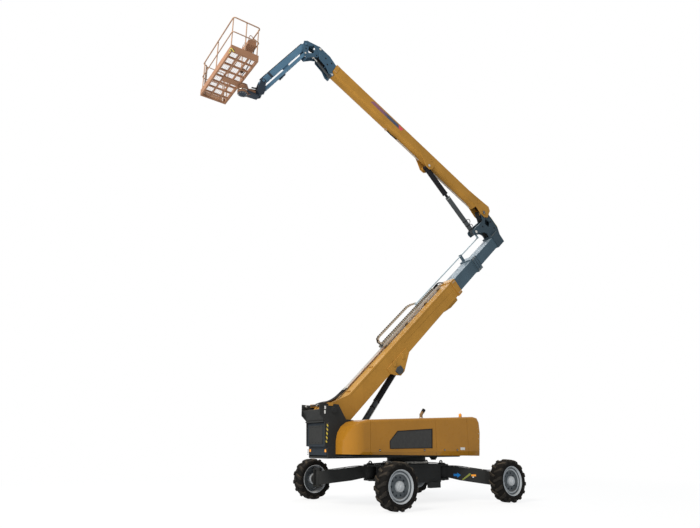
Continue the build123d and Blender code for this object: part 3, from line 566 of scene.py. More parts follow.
def hex_bolt(radius, height, offset=(0, 0, 0)):
    """A bolt head on a washer, standing along -y from its offset."""
    bolt = Form()
    x, y, z = offset
    ring = [(math.cos(math.pi * k / 3) * radius, math.sin(math.pi * k / 3) * radius) for k in range(6)]
    bolt.loft([[(x + a * s, y - d, z + b * s) for a, b in ring] for s, d in
               ((1, 0), (1, height * 0.85), (0.82, height))])
    bolt.disc((x, y, z), radius * 1.45, height * 0.3, sides=12)
    return bolt


def bolt_circle(form, centre, direction, radius, count, size, finish="zinc"):
    """A circle of bolts round a local centre, facing a local direction."""
    place = facing(form.place, centre, direction)
    ring_of(form, hex_bolt(size, size * BOLT_HEAD, (radius, 0, 0)), count, place, finish)


def bolt_row(form, place, start, step, count, size, finish="zinc"):
    """A row of bolts facing local -y."""
    spot = place @ Matrix.Translation(Vector(start))
    row_of(form, hex_bolt(size, size * BOLT_HEAD), count, step, spot, finish)


def facing(place, centre, direction):
    """A frame at a local centre whose -y looks along a local direction."""
    out = (place.to_3x3() @ Vector(direction)).normalized()
    side = Vector((0, 0, 1)).cross(out)
    if side.length < 0.1:
        side = Vector((0, 1, 0)).cross(out)
    return local_frame(place @ Vector(centre), side, -out)


# ------------------------------------------------------------------ carried-over solids
PAINTED = {
    "boom": ("lower_boom_base", "upper_boom_base"),
    "hood": ("hood_right", "hood_left", "hood_door_right_rear", "hood_door_left_rear",
             "hood_door_right_front", "hood_door_left_front"),
    "slate": ("lower_boom_mid", "lower_boom_inner", "upper_boom_mid"),
    "elbow": ("elbow_bracket",),
    "mount": ("upper_boom_inner", "jib_mount"),
    "jib": ("jib_beam", "jib_link"),
    "black": ("chassis_frame", "tie_down_eyes", "turntable_frame",
              *("leg_" + c for c in CORNERS), *("knuckle_" + c for c in CORNERS)),
    "iron": ("counterweight", "engine_block"),
    "platform": ("platform_floor", "lanyard_anchors", "control_box"),
    "rail": ("platform_rails", "platform_gate"),
    "navy": ("platform_support",),
    "tube": ("push_tube",),
    "zinc": ("hose_tray", "level_cylinder_rod"),
    "cylinder": ("lower_cylinder_barrel", "upper_cylinder_barrel", "level_cylinder_barrel"),
    "sleeve": ("lower_cylinder_rod", "upper_cylinder_rod"),
    "tan": ("exhaust_pipe",),
    "amber": ("beacon",),
}
SOFTENED = {
    "chassis_frame": 5, "turntable_frame": 5, "counterweight": 10, "lower_boom_base": 7, "upper_boom_base": 5,
    "lower_boom_mid": 6, "lower_boom_inner": 6, "elbow_bracket": 6, "upper_boom_inner": 4, "jib_mount": 4,
    "jib_beam": 8, "jib_link": 3, "platform_support": 4, "platform_floor": 2, "control_box": 12,
    **{"leg_" + c: 6 for c in CORNERS}, **{"knuckle_" + c: 5 for c in CORNERS},
}


class BOOMLIFT_OT_solids(bpy.types.Operator):
    """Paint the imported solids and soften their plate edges"""

    bl_idname = "boomlift.solids"
    bl_label = "Paint the Solids"

    def execute(self, context):
        FINISH.clear()
        mix_finishes(context.scene.boomlift_paint)
        for finish, names in PAINTED.items():
            for name in names:
                data = FRAME["nodes"][name].data
                data.materials.clear()
                data.materials.append(FINISH[finish])
        for name, width in SOFTENED.items():
            node = FRAME["nodes"][name]
            weld = node.modifiers.new("weld", "WELD")
            weld.merge_threshold = 1e-5
            flat = node.modifiers.new("flat", "DECIMATE")
            flat.decimate_type = "DISSOLVE"
            flat.angle_limit = math.radians(0.4)
            edge = node.modifiers.new("edge", "BEVEL")
            edge.width = width / 1000
            edge.segments = 2
            edge.limit_method = "ANGLE"
            edge.angle_limit = math.radians(35)
            edge.harden_normals = True
        return {"FINISHED"}


# ------------------------------------------------------------------ wheels
# Stations along a tread lug, from the tyre's middle to its wall:
# across and radius of the crown, across and radius of the root, lag round the tyre in radians, half width.
LUG_STATIONS = (
    (-0.016, 0.5755, -0.016, 0.538, 0.000, 0.030),
    (0.045, 0.5772, 0.045, 0.540, 0.030, 0.031),
    (0.095, 0.5768, 0.095, 0.538, 0.072, 0.033),
    (0.140, 0.5745, 0.140, 0.530, 0.118, 0.037),
    (0.180, 0.5680, 0.176, 0.520, 0.152, 0.041),
    (0.207, 0.5540, 0.198, 0.508, 0.172, 0.044),
    (0.2205, 0.5300, 0.204, 0.494, 0.184, 0.043),
    (0.2215, 0.5020, 0.206, 0.480, 0.190, 0.036),
)
TYRE_PROFILE = (
    (0.389, 0.150), (0.392, 0.176), (0.410, 0.188), (0.432, 0.200), (0.446, 0.209), (0.452, 0.209),
    (0.456, 0.205), (0.470, 0.209), (0.490, 0.208), (0.512, 0.200), (0.530, 0.184), (0.541, 0.150),
    (0.545, 0.080), (0.546, 0.0),
)
RIM_PROFILE = (
    (0.388, 0.150), (0.395, 0.176), (0.394, 0.187), (0.386, 0.192), (0.377, 0.188), (0.372, 0.170),
    (0.362, 0.140), (0.348, 0.124), (0.330, 0.120), (0.320, 0.129), (0.313, 0.142), (0.304, 0.143),
    (0.296, 0.134),
)
DISC_PROFILE = (
    (0.297, 0.137), (0.286, 0.100), (0.270, 0.076), (0.235, 0.066), (0.185, 0.070), (0.150, 0.082),
    (0.127, 0.088),
)
HUB_PROFILE = (
    (0.128, 0.086), (0.125, 0.150), (0.118, 0.162), (0.102, 0.165), (0.096, 0.170), (0.092, 0.186),
    (0.080, 0.192), (0.046, 0.194), (0.038, 0.206), (0.028, 0.210), (1e-4, 0.210),
)


def lug_shape(side):
    """One tread lug, on the side of the tyre that side names."""
    lug = Form()
    rings = []
    for y_top, r_top, y_root, r_root, lag, half in LUG_STATIONS:
        turn = lag + (math.pi / 14 if side < 0 else 0)
        ring = []
        for y, r, width in ((y_root, r_root, half + 0.008), (y_top, r_top - 0.007, half),
                            (y_top * 0.985, r_top, half - 0.006)):
            ring.append((y, r, turn - width / r))
        for y, r, width in ((y_top * 0.985, r_top, half - 0.006), (y_top, r_top - 0.007, half),
                            (y_root, r_root, half + 0.008)):
            ring.append((y, r, turn + width / r))
        rings.append([(r * math.cos(t), side * y, r * math.sin(t)) for y, r, t in ring])
    lug.loft(rings)
    return lug


class BOOMLIFT_OT_tyres(bpy.types.Operator):
    """Mould the foam-filled tyres with their chevron lugs"""

    bl_idname = "boomlift.tyres"
    bl_label = "Tyres"

    def execute(self, context):
        count = context.scene.boomlift_sizes.tyre_lugs
        for corner in CORNERS:
            place = wheel_frame(corner)
            tyre = Form(place)
            whole = [*TYRE_PROFILE, *((r, -d) for r, d in TYRE_PROFILE[-2::-1]), (0.380, -0.148),
                     (0.380, 0.148)]
            tyre.slot = 1
            tyre.turned(whole, sides=84)
            tyre.slot = 0
            for side in (-1, 1):
                ring_of(tyre, lug_shape(side), count, place, "rubber")
            name = "tyre_" + corner
            tyre.piece("tread_" + corner, "wheel_" + corner, ("rubber", "wall"), crease=30,
                       replaces=(name,))
        return {"FINISHED"}


class BOOMLIFT_OT_rims(bpy.types.Operator):
    """Press the rims, with their dished discs, drive hubs and nuts"""

    bl_idname = "boomlift.rims"
    bl_label = "Rims"

    def execute(self, context):
        nuts = context.scene.boomlift_sizes.wheel_nuts
        for corner in CORNERS:
            place = wheel_frame(corner)
            rim = Form(place)
            back = [(r, d - 0.008) for r, d in RIM_PROFILE[::-1]]
            rim.turned([*RIM_PROFILE, (0.288, 0.128), *back[1:-2]], sides=96)
            rim.turned([(0.387, -0.160), (0.396, -0.178), (0.394, -0.188), (0.384, -0.190), (0.374, -0.176),
                        (0.366, -0.150), (0.366, 0.140), (0.386, 0.150)], sides=96)
            for k in range(6):
                t = math.pi * k / 3 + 0.3
                rim.disc((0.382 * math.cos(t), 0.1895, 0.382 * math.sin(t)), 0.004, 0.004, sides=10)
            # Slot 1 draws painted shade: a dark ring over the rim's concave well, and the disc, which is
            # darker partly by painted shade of the deep dish.
            rim.slot = 1
            rim.turned([(0.3615, 0.1430), (0.3485, 0.1270), (0.3310, 0.1225), (0.3310, 0.1190),
                        (0.3480, 0.1215), (0.3615, 0.1360)], sides=96)
            rim.turned([*DISC_PROFILE, (0.127, 0.056), (0.28, 0.045), (0.297, 0.060)], sides=96)
            rim.slot = 2
            rim.turned([*HUB_PROFILE, (1e-4, -0.165), (0.165, -0.165)], sides=64)
            rim.slot = 3
            bolt_circle(rim, (0, 0.068, 0), (0, 1, 0), 0.212, nuts, 0.017, "iron")
            rim.slot = 4
            bolt_circle(rim, (0, 0.164, 0), (0, 1, 0), 0.108, 12, 0.007)
            bolt_circle(rim, (0, 0.193, 0), (0, 1, 0), 0.062, 6, 0.008)
            rim.piece("wheel_" + corner, "wheel_" + corner, ("rim", "disc", "rim", "iron", "zinc"),
                      crease=28, replaces=("rim_" + corner,))
        return {"FINISHED"}


EAR_TOP = 0.878    # height of a carrier's upper ear over the ground


class BOOMLIFT_OT_axles(bpy.types.Operator):
    """Fit the axle legs and steered carriers with bolts, lines and marks"""

    bl_idname = "boomlift.axles"
    bl_label = "Axle Legs"

    def execute(self, context):
        for corner, (sx, _) in CORNERS.items():
            leg = leg_frame(corner)
            reach = (leg.inverted() @ at_joint("steer_" + corner)).x
            fit = Form(leg)
            for side in (-1, 1):
                face = facing(leg, (0, side * LEG_WALL, 0), (0, side, 0))
                bolt_row(fit, face, (0.10 if side < 0 else -0.34, 0, 0.895), (0.08, 0, 0), 4, 0.012, "black")
                if sx < 0:
                    low, high = outward(side, LEG_WALL, LEG_WALL + 0.006)
                    fit.box((0.16, low, 0.655), (0.46, high, 0.845))
            fit.disc((0, 0, 1.027), 0.10, 0.012, axis="z")
            bolt_circle(fit, (0, 0, 1.034), (0, 0, 1), 0.08, 6, 0.010, "black")
            fit.slot = 1
            for shift in (-0.045, 0.0, 0.045):
                fit.line([(0.12, shift, 0.955), (0.40, shift, 0.962), (0.75, shift * 0.8, 0.915),
                          (1.10, shift * 0.7, 0.868), (reach - 0.25, shift * 0.6, 0.84),
                          (reach - 0.16, shift * 0.6, 0.845)], 0.011, 8)
            fit.slot = 2
            for x in (0.36, 0.80, 1.18):
                z = 0.948 if x < 0.5 else 0.948 - (x - 0.38) * 0.142 / 1.1554
                fit.box((x - 0.014, -0.070, z - 0.012), (x + 0.014, 0.070, z + 0.022))
            fit.piece("leg_fittings_" + corner, "leg_" + corner, ("black", "hose", "zinc"),
                      0.002)
            carrier = Form(Matrix.Translation(at_joint("steer_" + corner)))
            ear = EAR_TOP - at_joint("steer_" + corner).z
            carrier.disc((0, 0, ear + 0.012), 0.062, 0.016, axis="z")
            bolt_circle(carrier, (0, 0, ear), (0, 0, 1), 0.076, 8, 0.008)
            carrier.piece("carrier_fittings_" + corner, "steer_" + corner, ("black",), 0.002)
            if sx > 0:
                self.marks(corner, leg)
        return {"FINISHED"}

    def marks(self, corner, leg):
        """The coloured marks on a front leg's outer side."""
        side = -1 if corner == "front_right" else 1
        low, high = outward(side, LEG_WALL + 0.0002, LEG_WALL + 0.0028)
        marks = Form(leg)
        marks.prism([(0.34, 0.672), (0.445, 0.672), (0.445, 0.632), (0.545, 0.705), (0.445, 0.778),
                     (0.445, 0.738), (0.34, 0.738)], low, high)
        marks.slot = 1
        marks.prism([(0.57, 0.585), (0.61, 0.568), (0.84, 0.715), (0.83, 0.755), (0.80, 0.755)], low, high)
        marks.slot = 2
        marks.box((0.85, low, 0.675), (0.985, high + 0.006 * (side > 0), 0.725))
        marks.slot = 3
        marks.box((0.885, low, 0.640), (0.925, high, 0.668))
        marks.piece("leg_marks_" + corner, "leg_" + corner, ("blue", "green", "amber", "white"))


# ------------------------------------------------------------------ chassis and turntable
class BOOMLIFT_OT_chassis(bpy.types.Operator):
    """Fit the chassis with its slewing ring, cover plates, steps and lines"""

    bl_idname = "boomlift.chassis"
    bl_label = "Chassis"

    def execute(self, context):
        fit = Form(GROUND)
        tooth = Form()
        tooth.prism([(0.598, -0.012), (0.622, -0.006), (0.622, 0.006), (0.598, 0.012)], -0.026, 0.026)
        upright = local_frame(GROUND @ Vector((0, 0, 1.062)), (1, 0, 0), (0, 0, 1))
        ring_of(fit, tooth, context.scene.boomlift_sizes.ring_teeth, upright, "zinc")
        fit.slot = 1
        fit.turned([(0.60, 1.030), (0.660, 1.026), (0.664, 1.034), (0.60, 1.040)], axis="z", sides=72)
        for sy in (-1, 1):
            wall = facing(GROUND, (0, sy * 0.780, 0), (0, sy, 0))
            fit.box((-0.42, sy * 0.781 - 0.006, 0.60), (0.42, sy * 0.781 + 0.006, 0.95))
            for z in (0.62, 0.93):
                bolt_row(fit, wall, (-0.36, -0.007, z), (0.18, 0, 0), 5, 0.013, "black")
            for x in (-0.56, 0.56):
                bolt_row(fit, wall, (x, 0, 0.60), (0, 0, 0.11), 4, 0.012, "black")
            row_of(fit, self.tread_rib(), 7, (0.055, 0, 0),
                   GROUND @ Matrix.Translation((0.19, sy * 0.78, 0.386)), "black")
        for sx in (-1, 1):
            nose = facing(GROUND, (sx * 0.820, 0, 0), (sx, 0, 0))
            fit.box((sx * 0.823 - 0.004, -0.055, 0.68), (sx * 0.823 + 0.004, 0.055, 0.90))
            for x in (-0.04, 0.04):
                bolt_row(fit, nose, (x, 0, 0.70), (0, 0, 0.18), 2, 0.009, "zinc")
        fit.slot = 2
        for sx in (-1, 1):
            for k, y in enumerate((-0.20, -0.15, 0.15, 0.20)):
                end = math.copysign(0.50 + 0.02 * (k % 2), y)
                fit.line([(sx * 0.50, y, 1.032), (sx * 0.70, y, 1.05), (sx * 0.90, y * 1.5, 1.035),
                          (sx * 1.02, end * 0.8, 1.02)], 0.011, 8)
        fit.piece("chassis_fittings", "chassis", ("zinc", "black", "hose"), 0.0)
        return {"FINISHED"}

    def tread_rib(self):
        rib = Form()
        rib.box((-0.012, -0.052, -0.006), (0.012, 0.052, 0.004))
        return rib


TOWER_REAR = -3.158    # the tower's rear face, from the slewing axis


class BOOMLIFT_OT_turntable(bpy.types.Operator):
    """Fit the tower plates with pin caps, hazard tape, plates and lines"""

    bl_idname = "boomlift.turntable"
    bl_label = "Turntable"

    def execute(self, context):
        fit = Form(GROUND)
        pivot = GROUND.inverted() @ at_joint("lower_luff")
        for side in (-1, 1):
            fit.slot = 0
            cap = (pivot.x, side * 0.520, pivot.z)
            fit.disc(cap, 0.080, 0.016)
            bolt_circle(fit, (pivot.x, side * 0.528, pivot.z), (0, side, 0), 0.058, 6, 0.011)
            wall = facing(GROUND, (0, side * TOWER_WALL, 0), (0, side, 0))
            run = -1 if side > 0 else 1
            for x, z, step, count in ((-3.10, 1.30, (0.0, 0, 0.055), 3), (-2.62, 2.06, (-0.05, 0, 0.045), 4),
                                      (-3.28, 2.38, (0.0, 0, 0.08), 3)):
                bolt_row(fit, wall, (run * x, 0, z), (run * step[0], 0, step[2]), count, 0.011, "black")
            fit.slot = 1
            low, high = outward(side, TOWER_WALL - 0.0005, TOWER_WALL + 0.0015)
            fit.prism([(-3.138, 1.60), (-3.092, 1.60), (-3.062, 2.10), (-3.108, 2.10)], low, high)
            fit.slot = 2
            fit.box((-3.195, low, 2.455), (-3.145, high, 2.535))
            fit.box((-3.200, low, 2.335), (-3.155, high, 2.425))
            fit.slot = 3
            fit.prism([(-3.07, 2.545), (-2.93, 2.545), (-2.91, 2.60), (-2.96, 2.632), (-3.06, 2.625)],
                      *outward(side, 0.40, 0.500))
            fit.slot = 4
            low, high = outward(side, 0.36, 0.43)
            fit.box((-3.088, low, 1.36), (-3.078, high, 1.43))
        fit.slot = 5
        for y in (-0.30, 0.30):
            fit.disc((-3.285, y, 2.555), 0.034, 0.020)
        fit.slot = 0
        rear = facing(GROUND, (TOWER_REAR, 0, 0), (-1, 0, 0))
        fit.box((TOWER_REAR, -0.36, 1.56), (-3.148, 0.36, 2.04))
        for z in (1.60, 2.00):
            bolt_row(fit, rear, (-0.32, 0, z), (0.16, 0, 0), 5, 0.013, "black")
        fit.slot = 6
        for k, y in enumerate((-0.30, -0.24, -0.18, 0.20, 0.26, 0.32)):
            fit.line([(-2.30, y * 0.8, 1.70), (-2.70, y, 1.95), (-3.00, y, 2.25), (-3.07, y * 0.97, 2.38),
                      (-3.10, y * 0.95, 2.47 - 0.005 * k)], 0.013, 8)
        fit.slot = 0
        fit.turned([(1e-4, -0.05), (0.075, -0.05), (0.08, -0.02), (0.11, 0.0), (0.11, 0.05), (1e-4, 0.05)],
                   (0.78, -0.34, 1.17), axis="z", sides=32)
        fit.piece("turntable_fittings", "turntable",
                  ("black", "hazard", "white", "boom", "amber", "zinc", "hose"), 0.0)
        return {"FINISHED"}


DOORS = {"rear": (-2.206, 0.116), "front": (0.124, 1.386)}    # where each door starts and ends along x
HOOD_SKIN = 1.220
LATCH_Z = 1.405
EXHAUST_Y = -0.800
BEACON = (1.740, -0.620)


class BOOMLIFT_OT_hoods(bpy.types.Operator):
    """Fit the hoods with their dark panels, hinges, latches and plates"""

    bl_idname = "boomlift.hoods"
    bl_label = "Hoods"

    def execute(self, context):
        for side_name, side in (("right", -1), ("left", 1)):
            skin = side * HOOD_SKIN
            wall = facing(GROUND, (0, skin, 0), (0, side, 0))
            run = 1 if side < 0 else -1
            for end, (x0, x1) in DOORS.items():
                fit = Form(GROUND)
                for x in (x0 + 0.30, x1 - 0.46):
                    self.latch(fit, x, skin, side)
                hinge_z = at_joint(f"door_{side_name}_{end}").z
                for x in (x0 + 0.30, (x0 + x1) / 2, x1 - 0.30):
                    top = hinge_z + 0.004 + (x - (x0 + x1) / 2) * 0.0451
                    fit.slot = 2
                    fit.rod((x - 0.06, side * 0.512, top), (x + 0.06, side * 0.512, top + 0.0054), 0.009)
                fit.slot = 0
                if end == "rear":
                    self.dark_panel(fit, skin, side)
                if end == "front":
                    low, high = outward(side, HOOD_SKIN, HOOD_SKIN + PLATE_PROUD)
                    fit.slot = 3
                    fit.box((1.06, low, 1.405), (1.24, high, 1.475))
                    fit.slot = 0
                fit.piece(f"door_fittings_{side_name}_{end}", f"door_{side_name}_{end}",
                          ("panel", "soot", "zinc", "white", "hood"), 0.0)
            ends = Form(GROUND)
            low, high = outward(side, HOOD_SKIN, HOOD_SKIN + PLATE_PROUD)
            ends.slot = 1
            for x, z in ((-2.40, 1.44), (1.52, 1.385)):
                ends.box((x, low, z), (x + 0.13, high, z + 0.075))
            ends.slot = 0
            bolt_row(ends, wall, (run * 1.86, 0, 1.42), (0, 0, 0.15), 5, 0.008, "hood")
            ends.piece("hood_fittings_" + side_name, "turntable", ("zinc", "hood"), 0.0)
        self.stack()
        return {"FINISHED"}

    def latch(self, fit, x, skin, side):
        """A pressed cup with its flush handle."""
        centre = (x, skin + side * 0.001, LATCH_Z)
        fit.slot = 1
        fit.disc(centre, 0.030, 0.004)
        fit.slot = 2
        low, high = sorted((skin, skin + side * 0.007))
        fit.box((x - 0.020, low, LATCH_Z - 0.006), (x + 0.020, high, LATCH_Z + 0.006))

    def dark_panel(self, fit, skin, side):
        """The dark inlay on the rear door, in its raised frame."""
        outline = [(-1.30, 1.905), (-0.012, 1.985), (-0.045, 1.455), (-1.555, 1.440), (-1.575, 1.460),
                   (-1.575, 1.640)]
        middle = (sum(x for x, _ in outline) / 6, sum(z for _, z in outline) / 6)
        inner = [(middle[0] + (x - middle[0]) * 0.968,
                  middle[1] + (z - middle[1]) * 0.93) for x, z in outline]
        deep, proud = skin + side * 0.0015, skin + side * 0.009
        fit.slot = 0
        fit.prism(inner, *sorted((skin - side * 0.002, deep)))
        fit.slot = 1
        rings = []
        for a, b in ((outline, skin - side * 0.002), (outline, proud - side * 0.003), (
                [(middle[0] + (x - middle[0]) * 0.992,
                  middle[1] + (z - middle[1]) * 0.982) for x, z in outline],
                proud), (inner, proud - side * 0.002), (inner, skin - side * 0.002)):
            rings.append([(x, b, z) for x, z in a])
        fit.loft(rings, capped=False)

    def stack(self):
        """The exhaust's sooty mouth and clamp, and the beacon's stepped base."""
        mouth = Form(GROUND)
        tip = Vector((0.62, 0, 0.78)).normalized()
        end = Vector((0.072, EXHAUST_Y, 2.530))
        mouth.rod(end - tip * 0.095, end + tip * 0.006, 0.051, 28)
        mouth.slot = 1
        mouth.disc((-0.050, EXHAUST_Y, 2.296), 0.062, 0.022, axis="z")
        mouth.piece("exhaust_tip", "door_right_rear", ("soot", "zinc"), 0.002)
        base = Form(GROUND)
        base.disc((*BEACON, 2.358), 0.064, 0.022, axis="z")
        base.disc((*BEACON, 2.379), 0.053, 0.010, axis="z")
        base.piece("beacon_base", "turntable", ("soot",), 0.002)


# ------------------------------------------------------------------ booms
MID_SEAMS = (8.205, 8.345, 8.480)    # dark seams along the middle section
MID_BOLTS = 8.24


class BOOMLIFT_OT_lower_boom(bpy.types.Operator):
    """Fit the lower boom with pads, bolts, seams, collars and lines"""

    bl_idname = "boomlift.lower_boom"
    bl_label = "Lower Boom"

    def execute(self, context):
        fit = Form(LOWER)
        for side in (-1, 1):
            # Slot 7 draws painted shade: dark yellow lines along the side walls.
            fit.slot = 7
            low, high = outward(side, BASE_WALL - 0.0005, BASE_WALL + 0.0012)
            fit.prism([(3.42, -0.306), (6.60, -0.366), (6.60, -0.370), (3.42, -0.310)], low, high)
            fit.prism([(0.80, -0.158), (6.60, -0.158), (6.60, -0.161), (0.80, -0.161)], low, high)
            fit.slot = 0
            low, high = outward(side, BASE_WALL - 0.001, BASE_WALL + 0.004)
            plate = side * 0.304
            for s, n in ((2.66, -0.515), (3.08, -0.555)):
                self.pad(fit, s, n, plate, side)
            fit.prism([(0.55, -0.30), (0.575, -0.30), (0.640, -0.60), (0.615, -0.60)], low, high)
            fit.slot = 1
            self.pin_cap(fit, plate, side)
            collar = side * 0.306
            low, high = sorted((collar, collar + side * 0.006))
            fit.slot = 0
            fit.box((6.66, low, -0.20), (6.82, high, -0.13))
            fit.box((6.66, low, -0.62), (6.82, high, -0.55))
            fit.slot = 2
            for n in (-0.60, -0.575, -0.175, -0.15):
                bolt_row(fit, facing(LOWER, (6.69, collar + side * 0.006, n), (0, side, 0)), (0, 0, 0),
                         self.along(side, 0.05), 3, 0.008, "zinc")
            low, high = outward(side, BASE_WALL, BASE_WALL + PLATE_PROUD)
            fit.slot = 3
            fit.box((6.39, low, -0.51), (6.52, high, -0.44))
        fit.slot = 0
        for s in (0.9, 2.0):
            fit.box((s, -0.20, -0.107), (s + 0.02, -0.02, -0.075))
        self.top_lines(fit)
        fit.piece("lower_boom_fittings", "lower_base",
                  ("boom", "cylinder", "zinc", "boom", "copper", "hose", "soot", "seam"), 0.0)
        self.section_fittings()
        return {"FINISHED"}

    def along(self, side, step):
        """A step along the boom, in the frame of a wall on one side."""
        wall = facing(LOWER, (0, 0, 0), (0, side, 0))
        return tuple(wall.to_3x3().inverted() @ (LOWER.to_3x3() @ Vector((step, 0, 0))))

    def pad(self, fit, s, n, plate, side):
        """A raised rounded pad welded on the lug plate."""
        rings = []
        for inset, out in ((0, 0), (0.0, 0.010), (0.012, 0.020)):
            ring = []
            for k in range(24):
                t = 2 * math.pi * k / 24
                a, b = 0.062 - inset, 0.125 - inset
                x = math.copysign(abs(math.cos(t)) ** 0.5, math.cos(t)) * a
                z = math.copysign(abs(math.sin(t)) ** 0.5, math.sin(t)) * b
                ring.append((s + x * 0.9 + z * 0.35, plate + side * out, n + z * 0.62 - x * 0.3))
            rings.append(ring)
        fit.loft(rings)
        # Painted shade: a dark yellow line round the pad's foot.
        fit.slot = 7
        fit.line([*rings[0], rings[0][0]], 0.005, 6, smooth=False)
        fit.slot = 0

    def pin_cap(self, fit, plate, side):
        """The dark six-sided keeper over the cylinder's upper pin."""
        ring = [(2.515, -0.690), (2.555, -0.865), (2.690, -0.905), (2.805, -0.860), (2.795, -0.690),
                (2.655, -0.655)]
        fit.loft([[(s, plate + side * out, n) for s, n in
                   [(2.67 + (s - 2.67) * k, -0.78 + (n + 0.78) * k) for s, n in ring]]
                  for out, k in ((0, 1), (0.024, 1), (0.034, 0.92))])
        for t in (0.6, 2.2, 4.0, 5.4):
            fit.disc((2.68 + 0.085 * math.cos(t), plate + side * 0.036, -0.78 + 0.085 * math.sin(t)), 0.013,
                     0.012, sides=12)

    def top_lines(self, fit):
        """The metal lines from the tray and the hoses that take over toward the pin."""
        for k, y in enumerate((0.075, 0.100, 0.150, 0.165, 0.215, 0.235)):
            fit.slot = 4 if k % 3 == 0 else 2
            fit.line([(3.00, y, -0.050), (1.05, y, -0.055 - 0.004 * (k % 2))], 0.008, 8, smooth=False)
            fit.slot = 5
            fit.line([(1.07, y, -0.056), (0.85, y, -0.050), (0.60, y * 0.98, -0.030), (0.36, y * 0.95, 0.040),
                      (0.16, y * 0.93, 0.150 + 0.006 * k), (0.0, y * 0.9, 0.215 + 0.006 * k)], 0.014, 8)
            fit.slot = 2
            fit.rod((1.03, y, -0.056), (1.10, y, -0.054), 0.016, 6)
        fit.slot = 6
        fit.line([(6.30, 0.16, 0.060), (6.45, 0.16, 0.075), (6.60, 0.15, 0.040), (6.70, 0.14, -0.040),
                  (6.74, 0.13, -0.070)], 0.022, 10)
        fit.box((6.28, 0.09, -0.030), (6.44, 0.23, 0.055))

    def section_fittings(self):
        """Wear pads, bolts and lines on the two inner sections and the elbow."""
        mid = Form(LOWER)
        for side in (-1, 1):
            bolt_row(mid, facing(LOWER, (MID_BOLTS, side * 0.292, 0), (0, side, 0)), (0, 0, 0), (0, 0, 0), 1,
                     0.008)
            for n in (-0.63, -0.59, -0.15, -0.11):
                place = facing(LOWER, (MID_BOLTS, side * 0.292, n), (0, side, 0))
                bolt_row(mid, place, (0, 0, 0), self.along(side, 0.06), 4, 0.009)
            mid.slot = 1
            low, high = outward(side, 0.2925, 0.300)
            mid.box((8.26, low, -0.56), (8.30, high, -0.18))
            mid.box((8.40, low, -0.56), (8.44, high, -0.18))
            mid.slot = 2
            low, high = outward(side, 0.2915, 0.2945)
            for s in MID_SEAMS:
                mid.box((s, low, -0.651), (s + 0.014, high, -0.096))
            mid.slot = 0
        mid.slot = 2
        for s in MID_SEAMS:
            mid.box((s, -0.290, -0.6555), (s + 0.014, 0.290, -0.6525))
        mid.piece("mid_section_fittings", "lower_mid", ("zinc", "slate", "soot"), 0.0)
        top = Form(LOWER)
        for side in (-1, 1):
            top.slot = 0
            for s, n, radius in ((10.41, 0.783, 0.066), (9.445, 0.450, 0.056)):
                top.disc((s, side * (0.150 if radius > 0.06 else 0.162), n), radius, 0.014)
            top.slot = 1
            for s, n in ((9.955, 0.40), (10.50, 0.02), (10.52, 0.30), (10.56, -0.22)):
                top.disc((s, side * 0.1465, n), 0.034, 0.004)
            top.slot = 2
            low, high = outward(side, 0.115, 0.150)
            top.prism([(10.702, -0.05), (10.708, -0.05), (10.682, 0.44), (10.676, 0.44)], low, high)
            top.slot = 3
            low, high = outward(side, 0.146, 0.153)
            top.prism([(10.02, -0.10), (10.40, -0.56), (10.43, -0.53), (10.06, -0.08)], low, high)
            top.prism([(9.42, 0.565), (9.99, 0.552), (9.99, 0.572), (9.42, 0.585)], low, high)
        top.slot = 4
        for k, y in enumerate((-0.070, -0.035, 0.0, 0.035, 0.070)):
            top.line([(9.95, y, -0.02), (9.98, y, 0.10), (10.12, y, 0.24), (10.22, y, 0.42 + 0.01 * k),
                      (10.14, y, 0.60), (10.20, y, 0.78), (10.30, y, 0.90)], 0.013, 8)
        top.piece("elbow_fittings", "lower_inner", ("zinc", "soot", "hazard", "slate", "hose"),
                  0.0)


